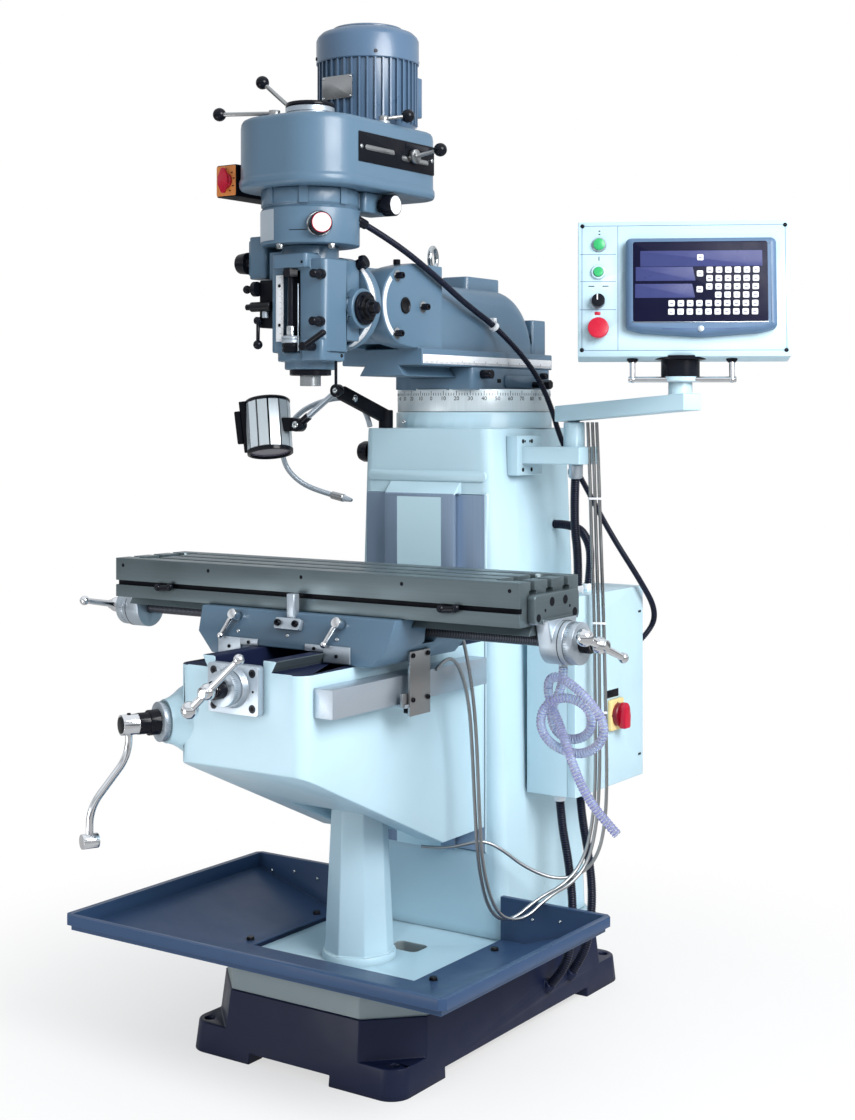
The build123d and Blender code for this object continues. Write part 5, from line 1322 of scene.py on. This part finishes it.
class MILL_OT_table(bpy.types.Operator):
    """Fit out the table, saddle and knee"""

    bl_idname = "mill.table"
    bl_label = "Table"

    SIDES = ((1, "right"), (-1, "left"))

    def execute(self, context):
        self.table()
        self.saddle()
        self.knee()
        self.crank()
        return {"FINISHED"}

    def table(self):
        """The slotted table with its end brackets, dials, stop dogs and front screws."""
        # Painted shade: the front groove's faces are black where the iron inside lies in shade
        groove_shade = [("black_matte", within(y=(-429.9, -419), z=(984, 996)))]
        softened("table", "work_table", "iron_along_x", fine_edge(0.7), groove_shade, segments=2)
        bearing = within(z=(-INF, 965))
        softened("table_end_brackets", "work_table", "iron_along_y", fine_edge(2), [("silver", bearing)])
        parts = [
            ("screw_thread", paired(-1, 540)), ("black_plastic", paired(606.3, 629)),
            ("silver", paired(584, 606.4)),
        ]
        softened("table_screw", "table_screw", "chrome", fine_edge(0.6), parts, segments=2)
        extras = Piece("table_fittings")
        for x in (-511, -257, 0, 257, 511):
            extras.add("black_matte", dot(facing("front", x, -430, 1029), 4))
        for x in (-380, 374):
            bar = rod((x - 16, -435, 984), (x + 16, -435, 987), 7)
            extras.add("black_plastic", bar, ball((x + 18, -438, 990), 7.5), ball((x - 18, -438, 986), 8))
        # Painted shade: the brackets' holes are flat black discs that stand for the shade inside them
        holes = [
            (-336, 1003, 9), (-284, 1003, 9), (-246, 975, 9), (-388, 975, 8), (-362, 988, 3), (-266, 989, 3),
        ]
        seam = [(44.1, 22), (44.3, 22.4), (44.3, 23.6), (44.1, 24)]
        lines = Piece("table_dial_lines")
        for sign, way in self.SIDES:
            for y, z, radius in holes:
                extras.add("black_matte", dot(facing(way, sign * 551, y, z), radius, 20, 0.4))
            hub = facing(way, sign * 551, *TABLE_SCREW)
            extras.add("dark_steel", turned(seam, hub, 56, **OPEN))
            dial = facing(way, sign * 585.5, *TABLE_SCREW)
            lines.add("black_matte", dial_lines(dial, 42, 2, 10, np.arange(50) * 7.2))
        extras.done("work_table")
        lines.done("table_screw")

    def saddle(self):
        """The saddle with its stop, bright wipers, scale reader and ball-ended lock levers."""
        softened("saddle_casting", "saddle", "machine_paint", cast_edge())
        for name in ("table_lock_lever_left", "table_lock_lever_right"):
            softened(name, name, "chrome", fine_edge(0.5), segments=2, sharp=50)
        slope = np.array((0, -0.936, 0.353))
        stop = stand((-4, -461, 932), slope, X)
        extras = Piece("saddle_fittings").add("silver", slab(oblong(66, 24, 4), -2, 12, stop, 1.5))
        extras.add("silver", block((-14, -462, 930), (6, -442, 996), 3, 1.5))
        extras.add("black_plastic", *(cap_screw(stand(put((x, 0, 11), stop), slope), 7) for x in (-23, 23)))
        for x in (-140, -7, 122):
            extras.add("steel", domed_screw(stand((x, -467, 911), slope), 4.5))
        for (left, right), (arm_left, arm_right) in (((-190, -128), (-129, -82)), ((92, 160), (44, 93))):
            extras.add("silver", block((left, -474, 864), (right, -470, 898), 1, 0.6))
            extras.add("silver", block((arm_left, -474, 884), (arm_right, -470, 898), 1, 0.6))
            for x, z in (((left + right) / 2, 878), ((arm_left + arm_right) / 2, 890)):
                extras.add("black_plastic", cap_screw(facing("front", x, -473.5, z), 3.6, 3))
        extras.add("cable_steel", block((233, -374, 752), (239, -300, 884), 1, 0.6))
        extras.add("cable_steel", block((226, -392, 772), (233, -372, 800), 1, 0.6))
        extras.add("silver", block((216, -386, 770), (236, -340, 777), 1, 0.6))
        extras.add("black_matte", block((216, -366, 756), (233, -300, 770), 2, 1))
        for y, z in ((-364, 876), (-310, 876), (-364, 785), (-310, 785)):
            extras.add("black_plastic", cap_screw(facing("right", 238.5, y, z), 5, 4))
        extras.done("saddle")

    def knee(self):
        """The knee with ground ways, the cross screw's plate and dial, and the aluminium scale."""

        def ways(c, n):
            return (c[:, 2] > 859.5) & (np.abs(n[:, 1]) < 0.9)

        # Painted reflection: the channel between the ways takes the base's dark blue for the blue that it
        # reflects
        channel = within((-63, 63), (-629, INF), (789, INF))
        parts = [("iron_along_y", ways), ("base_paint", channel)]
        softened("knee_casting", "knee", "white_paint", cast_edge(), parts)
        softened("cross_screw_bracket", "knee", "silver", fine_edge())
        softened("cross_scale", "knee", "silver", fine_edge(0.6), segments=2)
        extras = Piece("knee_fittings")
        socket = [(8.5, 0), (8.5, 0.4), (5, 0.4, 6), (5, 0.2, 6)]
        for x in (-50, 50):
            for z in (788, 858):
                at = facing("front", x, -648, z)
                extras.add("black_matte", dot(at, 8.5, 24))
                extras.add("dark_steel", turned(socket, at, 24, start=False))
        extras.add("black_matte", dot(facing("front", 52, -648, 822), 2.6, 12, 0.4))
        extras.add("silver", slab(oblong(47, 57, 1), 0, 1.2, facing("front", 189, -598, 804), 0.3))
        extras.done("knee")
        parts = [
            ("black_plastic", within(y=(-707, -684.2))), ("silver", within(y=(-684.3, -640))),
            ("steel", within(y=(-640, INF))),
        ]
        softened("cross_feed_screw", "cross_feed_screw", "chrome", fine_edge(0.6), parts, segments=2)
        lines = dial_lines(facing("front", 0, -662.5, 828), 36, 11, 20, np.arange(50) * 7.2)
        Piece("cross_dial_lines").add("black_matte", lines).done("cross_feed_screw")

    def crank(self):
        """The knee's crank: a grey dial, a black coupling and a bright S-bent arm."""
        way = unit((-193, -415, 0))

        def out(low, high):
            """Holds for faces between two distances out along the shaft, above the arm's bend."""
            return lambda c, n: ((c - CRANK) @ way > low) & ((c - CRANK) @ way < high) & (c[:, 2] > 690)

        parts = [("black_plastic", out(12.2, 57)), ("silver", out(-1, 12.3)), ("steel", out(-INF, -1))]
        softened("knee_crank", "knee_crank", "chrome", fine_edge(0.6), parts, segments=2, sharp=50)
        at = stand(CRANK, way)
        flare = [
            (45, -3), (46, -9), (50, -20), (57, -32), (66, -44), (73, -58), (73, -72), (62, -100), (40, -130),
        ]
        Piece("crank_boss").add("white_paint", turned(flare, at, 48)).done("knee")
        extras = Piece("crank_dial_lines")
        extras.add("black_matte", dial_lines(at, 41, 1.5, 8, np.arange(60) * 6.0))
        extras.add("dark_steel", cap_screw(stand(CRANK + way * 75 + Z * 20.5), 4, 3))
        extras.add("dark_steel", turned([(17, 92), (17, 93), (14, 94)], at, 32, start=False))
        extras.done("knee_crank")


class MILL_OT_pendant(bpy.types.Operator):
    """Fit out the control pendant and the lamp"""

    bl_idname = "mill.pendant"
    bl_label = "Pendant"

    # The panel's middle, its turn and tilt in degrees, its buttons' line and its readout's height
    PANEL = (642, 60, 1636)
    TURN = 28.6
    TILT = 8
    BUTTON_X = -179.5
    READOUT = 28

    def execute(self, context):
        level, rise, _ = around(self.TILT)
        out = level * around(self.TURN - 90) + rise * Z
        self.face = stand(self.PANEL, out, around(self.TURN))
        self.box()
        self.controls()
        self.display()
        self.handle()
        self.lamp()
        return {"FINISHED"}

    def tile(self, wide, high, radius, low, top, place, edge):
        """A flat rounded rectangle on the panel, between two heights above it."""
        return slab(oblong(wide, high, radius), low, top, moved(self.face, *place), edge)

    def box(self):
        """The sheet box with its arm, black swivel, border lines, dividers, screws and plain signs."""

        def foot(c, n):
            return (c[:, 2] < 1482) & (off(c, SWIVEL) < 60)

        softened("pendant_box", "pendant", "white_paint", cast_edge(0.7), [("black_plastic", foot)])
        softened("pendant_arm", "pendant_arm", "white_paint", cast_edge())
        axis = stand((*SWIVEL, 0))
        collar = [(41, 1450), (41, 1484), (55, 1486), (56, 1488), (56, 1494)]
        socket = [(41.5, 1440.4), (41.5, 1449), (40, 1450)]
        flange = Piece("pendant_flange").add("black_plastic", turned(collar, axis, 56, **OPEN))
        flange.add("white_paint", turned(socket, axis, 56, **OPEN))
        flange.done("pendant")
        sheet = Piece("pendant_lines")
        borders = [
            (0, 137, 428, 1), (0, -133, 428, 1), (-138, 36, 1, 200), (-180, 75, 76, 1), (-180, 16, 76, 1),
            (-180, -45, 76, 1), (-214, 2, 1, 270), (214, 2, 1, 270), (-138, -98, 1, 70),
        ]
        for x, y, wide, high in borders:
            sheet.add("line_blue", self.tile(wide, high, 0.3, -0.2, 0.25, (x, y), 0.05))
        for x, y in ((-213, 137), (-214, -132), (214, 136), (213, -133)):
            sheet.add("black_plastic", domed_screw(moved(self.face, x, y), 4.5, 2.6))
        signs = [
            (-177, 126, 4, 2.4), (-177, 119, 4, 2.4), (-178, 66, 2, 9), (-194, 6, 13, 2), (-164, 6, 13, 2),
        ]
        for x, y, wide, high in signs:
            sheet.add("black_matte", self.tile(wide, high, 0.8, -0.2, 0.3, (x, y), 0.1))
        sheet.add("red_plastic", self.tile(13, 7, 2, -0.2, 0.3, (-181, -53), 0.1))
        sheet.done("pendant")

    def controls(self):
        """The pilot light, start button, selector and stop button, with their rings."""
        rings = Piece("button_rings")
        ring = [(15.5, -0.5), (15.5, 3), (14, 4.5), (12, 4.5)]
        for y in (96, 36, -28):
            at = moved(self.face, self.BUTTON_X + (y - 36) * 0.03, y)
            rings.add("silver", turned(ring, at, 36, **OPEN))
        dome = [(12.6, 0), (12.6, 8), (11.5, 10), (7, 11.5)]
        rings.add("green_plastic", turned(dome, moved(self.face, -177.7, 96), 36, start=False))
        stop = moved(self.face, self.BUTTON_X, -88)
        rings.add("red_plastic", turned([(15, -0.5), (15, 5)], stop, 32, **OPEN))
        rings.done("pendant")
        softened("start_button", "start_button", "green_plastic", fine_edge(), sharp=50)
        softened("selector_knob", "selector_knob", "black_plastic", fine_edge())
        top = top_of("selector_knob", self.face)
        mark = self.tile(2.4, 13, 1, -2, 0.4, (self.BUTTON_X - 2, -21, top), 0.2)
        Piece("selector_mark").add("white_face", mark).done("selector_knob")
        softened("stop_button", "stop_button", "red_plastic", fine_edge(2), sharp=50)

    def display(self):
        """The readout: a bezel with a bowed lower edge, a dark face, three windows and plain keys."""
        top = self.READOUT
        shape = rounded(
            [(-122, -88), (-90, -97), (36, -106), (160, -97), (193, -88), (193, 105), (-122, 105)],
            [10, 24, 90, 24, 10, 12, 12], 6,
        )
        steps = [(0, 0.3), (0, 17), (2, 22), (6, 26), (11, top), (13, top)]
        case = Piece("dro_display_dressed").add("bezel", plate(shape, steps, self.face))
        case.add("display_face", self.tile(281, 172, 5, 26, top + 0.4, (33.5, 9), 0.8))
        case.add("steel", self.tile(281, 1.6, 0.5, 26, top + 1, (33.5, -78), 0.3))
        windows = [(35.6, 58, 127, 17, 0), (-40, 25.3, 61, 15, 3), (-41.5, -11, 61, 15, 3)]
        for x, y, half, high, skew in windows:
            corners = [(-half, -high), (half + skew, -high), (half - skew, high), (-half, high)]
            case.add("window", slab(rounded(corners, 1.5), top, top + 1, moved(self.face, x, y), 0.3))
        keys = []
        for row, many in enumerate((10, 10, 5, 6, 6, 6)):
            keys += [(145.9 + 0.72 * row - 19.23 * k, -56 + 17.8 * row) for k in range(many)]
        for x, y in keys + [(33.9, 60.2), (32.9, 25.4), (32, -8.4)]:
            case.add("white_face", self.tile(13.2, 13.2, 2.4, top, top + 2.6, (x, y), 0.9))
            case.add("key_mark", self.tile(6.5, 2.2, 0.4, top + 2.4, top + 2.75, (x, y - 1), 0.1))
        badge = moved(self.face, 34, -92)
        case.add("silver", slab(circle(6.5, 28), top - 0.4, top + 0.8, badge, 0.4))
        case.add("line_blue", self.tile(160, 1, 0.3, top - 0.4, top + 0.3, (34, -92), 0.05))
        case.done("pendant", ["dro_display"])

    def handle(self):
        """A bright rail under the box on two posts with black feet."""
        rail = Piece("pendant_handle")
        rail.add("chrome", rod(put((-116, -190, -32), self.face), put((111, -190, -32), self.face), 6.2))
        rise = self.face[1][1]
        pad = [(12, 0), (12, 3), (8, 8)]
        for x in (-107, 102):
            post = put((x, -190, -32), self.face)
            rail.add("chrome", rod(post, post + rise * 44, 6), ball(post, 7.5))
            rail.add("black_plastic", turned(pad, stand(post + rise * 44.5, -rise), 28))
        rail.done("pendant")

    def lamp(self):
        """The lamp: a faceted drum with black caps, a lens and a switch box, on two knuckles."""
        foot, up, low = np.array([(-138.0, 68, 1364), (-157, -96, 1424), (-269, -98, 1345)])
        way = unit(foot - up)
        side = unit(np.cross(Z, -way))
        bar = slab(oblong(184, 32, 9), -9, 9, stand(up + way * 98, side, way), 2)
        post = turned([(17, 1337.4), (17, 1378), (15, 1380)], stand((*foot[:2], 0)), 32)
        bracket = Piece("lamp_bracket_dressed").add("black_matte", bar, post)
        bracket.add("steel", domed_screw(stand(up + way * 52 + side * 9, side), 8.5, 4))
        bracket.done("lamp_bracket", ["lamp_bracket"])

        def eyes(c, n):
            return near(up, 19)(c, n) | near(low, 17)(c, n)

        parts = [("black_plastic", eyes)]
        softened("lamp_arm", "lamp_arm", "silver", fine_edge(0.6), parts, segments=2, sharp=50)
        rise = unit(up - low)
        arm = Piece("lamp_arm_fittings").add("black_plastic", rod(low + rise * 12, low + rise * 36, 9.5, 2))
        arm.add("steel", domed_screw(stand(up - 10 * Y, -Y, X), 7)).done("lamp_arm")
        axis = stand((-360, -98, 1339), (-0.22, 0.17, 1), (0.9, 0.4, 0))
        head = Piece("lamp_head_dressed").add("black_plastic", turned([(48, -55), (48, 60)], axis, 48))
        turns = np.arange(12) * 30
        out = around(turns)
        head.add("lamp_silver", bars(axis, 48 * out, Z * 57, around(turns - 90) * 11.6, out * 4))
        cap = [(52, 57), (54, 58), (54, 63), (51, 66), (40, 66.5)]
        head.add("black_plastic", turned(cap, axis, 48))
        rim = [(48, -57), (47.5, -64), (50, -66), (54, -65), (54.5, -56), (51, -54)]
        head.add("black_plastic", turned(rim, axis, 48, **OPEN))
        head.add("lens", turned([(2, -61), (30, -60.8), (48, -60)], axis, 40, end=False))
        case = stand(axis[0] - 58 * unit((0.9, 0.4, 0)), (-0.9, -0.4, -0.12), (0.4, -0.9, 0))
        head.add("black_matte", slab(oblong(36, 122, 3), -12, 4, case, 1.5))
        head.add("black_matte", slab(oblong(44, 78, 4), 3, 17, case, 2))
        head.add("black_matte", block((-314, -110, 1330), (-286, -86, 1362), 4, 2))
        knuckle = [(15, -13), (16, -11), (16, 11), (15, 13)]
        head.add("black_plastic", turned(knuckle, facing("front", -270, -98, 1345), 32))
        head.add("black_plastic", rod((-290, -98, 1345), (-270, -98, 1345), 11))
        head.add("steel", domed_screw(facing("front", -270, -111, 1345), 9, 4))
        head.done("lamp_head", ["lamp_head"])


# Stage


class MILL_OT_stage(bpy.types.Operator):
    """Set up the pale floor, the soft light and the camera at the photograph's place"""

    bl_idname = "mill.stage"
    bl_label = "Stage"

    CAMERA = (2.252, -3.273, 1.368)
    TURN = math.radians(34.2)
    IMAGE_ROWS = 1120
    HORIZON_ROW = 415
    FLOOR = 7.0
    # What mirrors see from straight down to straight up, as (share of the way, tone)
    BANDS = [(0.0, 0.4), (0.42, 0.1), (0.5, 0.25), (0.57, 0.95), (0.72, 0.5), (0.85, 1.0)]

    def execute(self, context):
        self.world(context)
        self.floor()
        self.lights(context)
        self.camera(context)
        context.scene.view_settings.view_transform = "Standard"
        return {"FINISHED"}

    def seen(self, tree):
        """1 for rays that come from the eye, a mirror or glass, and 1 for those from a mirror alone."""
        path = node(tree, "ShaderNodeLightPath").outputs
        mirror = path["Is Glossy Ray"]
        first = node(tree, "ShaderNodeMath", {0: path["Is Camera Ray"], 1: mirror}, operation="MAXIMUM")
        values = {0: first.outputs[0], 1: path["Is Transmission Ray"]}
        return node(tree, "ShaderNodeMath", values, operation="MAXIMUM").outputs[0], mirror

    def world(self, context):
        """White for what is seen, an even light for what is lit, and dark and light bands for mirrors."""
        world = bpy.data.worlds.new("studio")
        world.use_nodes = True
        tree = world.node_tree
        tree.nodes.clear()
        seen, mirror = self.seen(tree)
        sky = {0: (0.88, 0.95, 1.0, 1), 1: context.scene.mill_stage.sky}
        light = node(tree, "ShaderNodeBackground", sky).outputs[0]
        white = node(tree, "ShaderNodeBackground", {0: (1, 1, 1, 1), 1: 1.0}).outputs[0]
        place = node(tree, "ShaderNodeTexCoord").outputs["Generated"]
        height = node(tree, "ShaderNodeSeparateXYZ", {0: place}).outputs["Z"]
        rise = node(tree, "ShaderNodeMapRange", {0: height, 1: -1.0, 2: 1.0, 3: 0.0, 4: 1.0}).outputs[0]
        bands = node(tree, "ShaderNodeValToRGB", {0: rise})
        elements = bands.color_ramp.elements
        while len(elements) < len(self.BANDS):
            elements.new(1.0)
        for element, (where, tone) in zip(elements, self.BANDS):
            element.position = where
            element.color = (tone * 0.94, tone * 0.97, tone, 1)
        banded = node(tree, "ShaderNodeBackground", {0: bands.outputs[0]}).outputs[0]
        plain = node(tree, "ShaderNodeMixShader", {0: seen, 1: light, 2: white}).outputs[0]
        full = node(tree, "ShaderNodeMixShader", {0: mirror, 1: plain, 2: banded}).outputs[0]
        node(tree, "ShaderNodeOutputWorld", {0: full})
        context.scene.world = world

    def floor(self):
        """A wide pale disc that keeps the shadow near the machine and fades to white further out."""
        radii = np.linspace(self.FLOOR, 0.2, 24)[:, None, None]
        points, faces = skin(radii * around(np.arange(64) * 360 / 64), start=False)
        mesh = bpy.data.meshes.new("floor")
        mesh.from_pydata(points.tolist(), [], faces)
        material, tree, main = shader("pale_floor")
        feed(main, {"Base Color": (0.9, 0.9, 0.9, 1), "Roughness": 0.9})
        seen, mirror = self.seen(tree)
        dim = node(tree, "ShaderNodeMapRange", {0: mirror, 3: 1.0, 4: 0.5}).outputs[0]
        glow = node(tree, "ShaderNodeEmission", {0: (1, 1, 1, 1), 1: dim}).outputs[0]
        place = node(tree, "ShaderNodeTexCoord").outputs["Object"]
        far = node(tree, "ShaderNodeVectorMath", {0: place}, operation="LENGTH").outputs["Value"]
        values = {0: far, 1: 0.4, 2: 1.6, 3: 0.62, 4: 1.0}
        fade = node(tree, "ShaderNodeMapRange", values, interpolation_type="SMOOTHSTEP").outputs[0]
        share = node(tree, "ShaderNodeMath", {0: fade, 1: seen}, operation="MULTIPLY").outputs[0]
        mix = node(tree, "ShaderNodeMixShader", {0: share, 1: main.outputs[0], 2: glow}).outputs[0]
        feed(tree.nodes["Material Output"], {0: mix})
        mesh.materials.append(material)
        placed("floor", mesh)

    def lights(self, context):
        """A large soft key high at the right, and a weak low fill in front."""
        stage = context.scene.mill_stage
        wanted = [
            ("key", (3.35, -1.2, 3.0), (0.1, 0.0, 1.1), 2.4, stage.key),
            ("fill", (-0.7, -1.9, 0.45), (0.0, -0.6, 0.6), 1.0, stage.fill),
        ]
        for name, place, aim, size, power in wanted:
            lamp = bpy.data.lights.new(name, "AREA")
            lamp.shape = "DISK"
            lamp.size = size
            lamp.energy = power
            made = placed(name, lamp)
            made.location = place
            x, y, z = np.array(aim) - np.array(place)
            made.rotation_euler = (math.atan2(math.hypot(x, y), -z), 0, math.atan2(-x, y))

    def camera(self, context):
        """A level camera whose shift puts the horizon at the photograph's row."""
        lens = bpy.data.cameras.new("camera")
        lens.sensor_width = 36
        lens.lens = context.scene.mill_stage.lens
        lens.shift_y = (self.HORIZON_ROW - self.IMAGE_ROWS / 2) / self.IMAGE_ROWS
        lens.clip_end = 100
        made = placed("camera", lens)
        made.location = self.CAMERA
        made.rotation_euler = (math.pi / 2, 0, self.TURN)
        context.scene.camera = made


OPERATORS = [
    MILL_OT_stage, MILL_OT_cords, MILL_OT_stand, MILL_OT_head, MILL_OT_ram, MILL_OT_table, MILL_OT_pendant,
]


class MILL_PT_panel(bpy.types.Panel):
    """Every property and every step of the build"""

    bl_idname = "MILL_PT_panel"
    bl_label = "Turret mill"
    bl_space_type = "VIEW_3D"
    bl_region_type = "UI"
    bl_category = "Mill"

    def draw(self, context):
        for group in (context.scene.mill_colours, context.scene.mill_sizes, context.scene.mill_stage):
            for name in group.__annotations__:
                self.layout.prop(group, name)
        for operator in OPERATORS:
            self.layout.operator(operator.bl_idname)


GROUPS = {"mill_colours": MillColours, "mill_sizes": MillSizes, "mill_stage": MillStage}


def register():
    """Adds the classes, and the property groups to the scene."""
    for kind in (*GROUPS.values(), *OPERATORS, MILL_PT_panel):
        bpy.utils.register_class(kind)
    for name, kind in GROUPS.items():
        setattr(bpy.types.Scene, name, PointerProperty(type=kind))


def unregister():
    """Takes away what register adds."""
    for name in GROUPS:
        delattr(bpy.types.Scene, name)
    for kind in (MILL_PT_panel, *reversed(OPERATORS), *reversed(GROUPS.values())):
        bpy.utils.unregister_class(kind)


def main():
    """Runs every step in order."""
    register()
    for operator in OPERATORS:
        group, name = operator.bl_idname.split(".")
        getattr(getattr(bpy.ops, group), name)()
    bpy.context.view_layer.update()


if __name__ == "__main__":
    main()
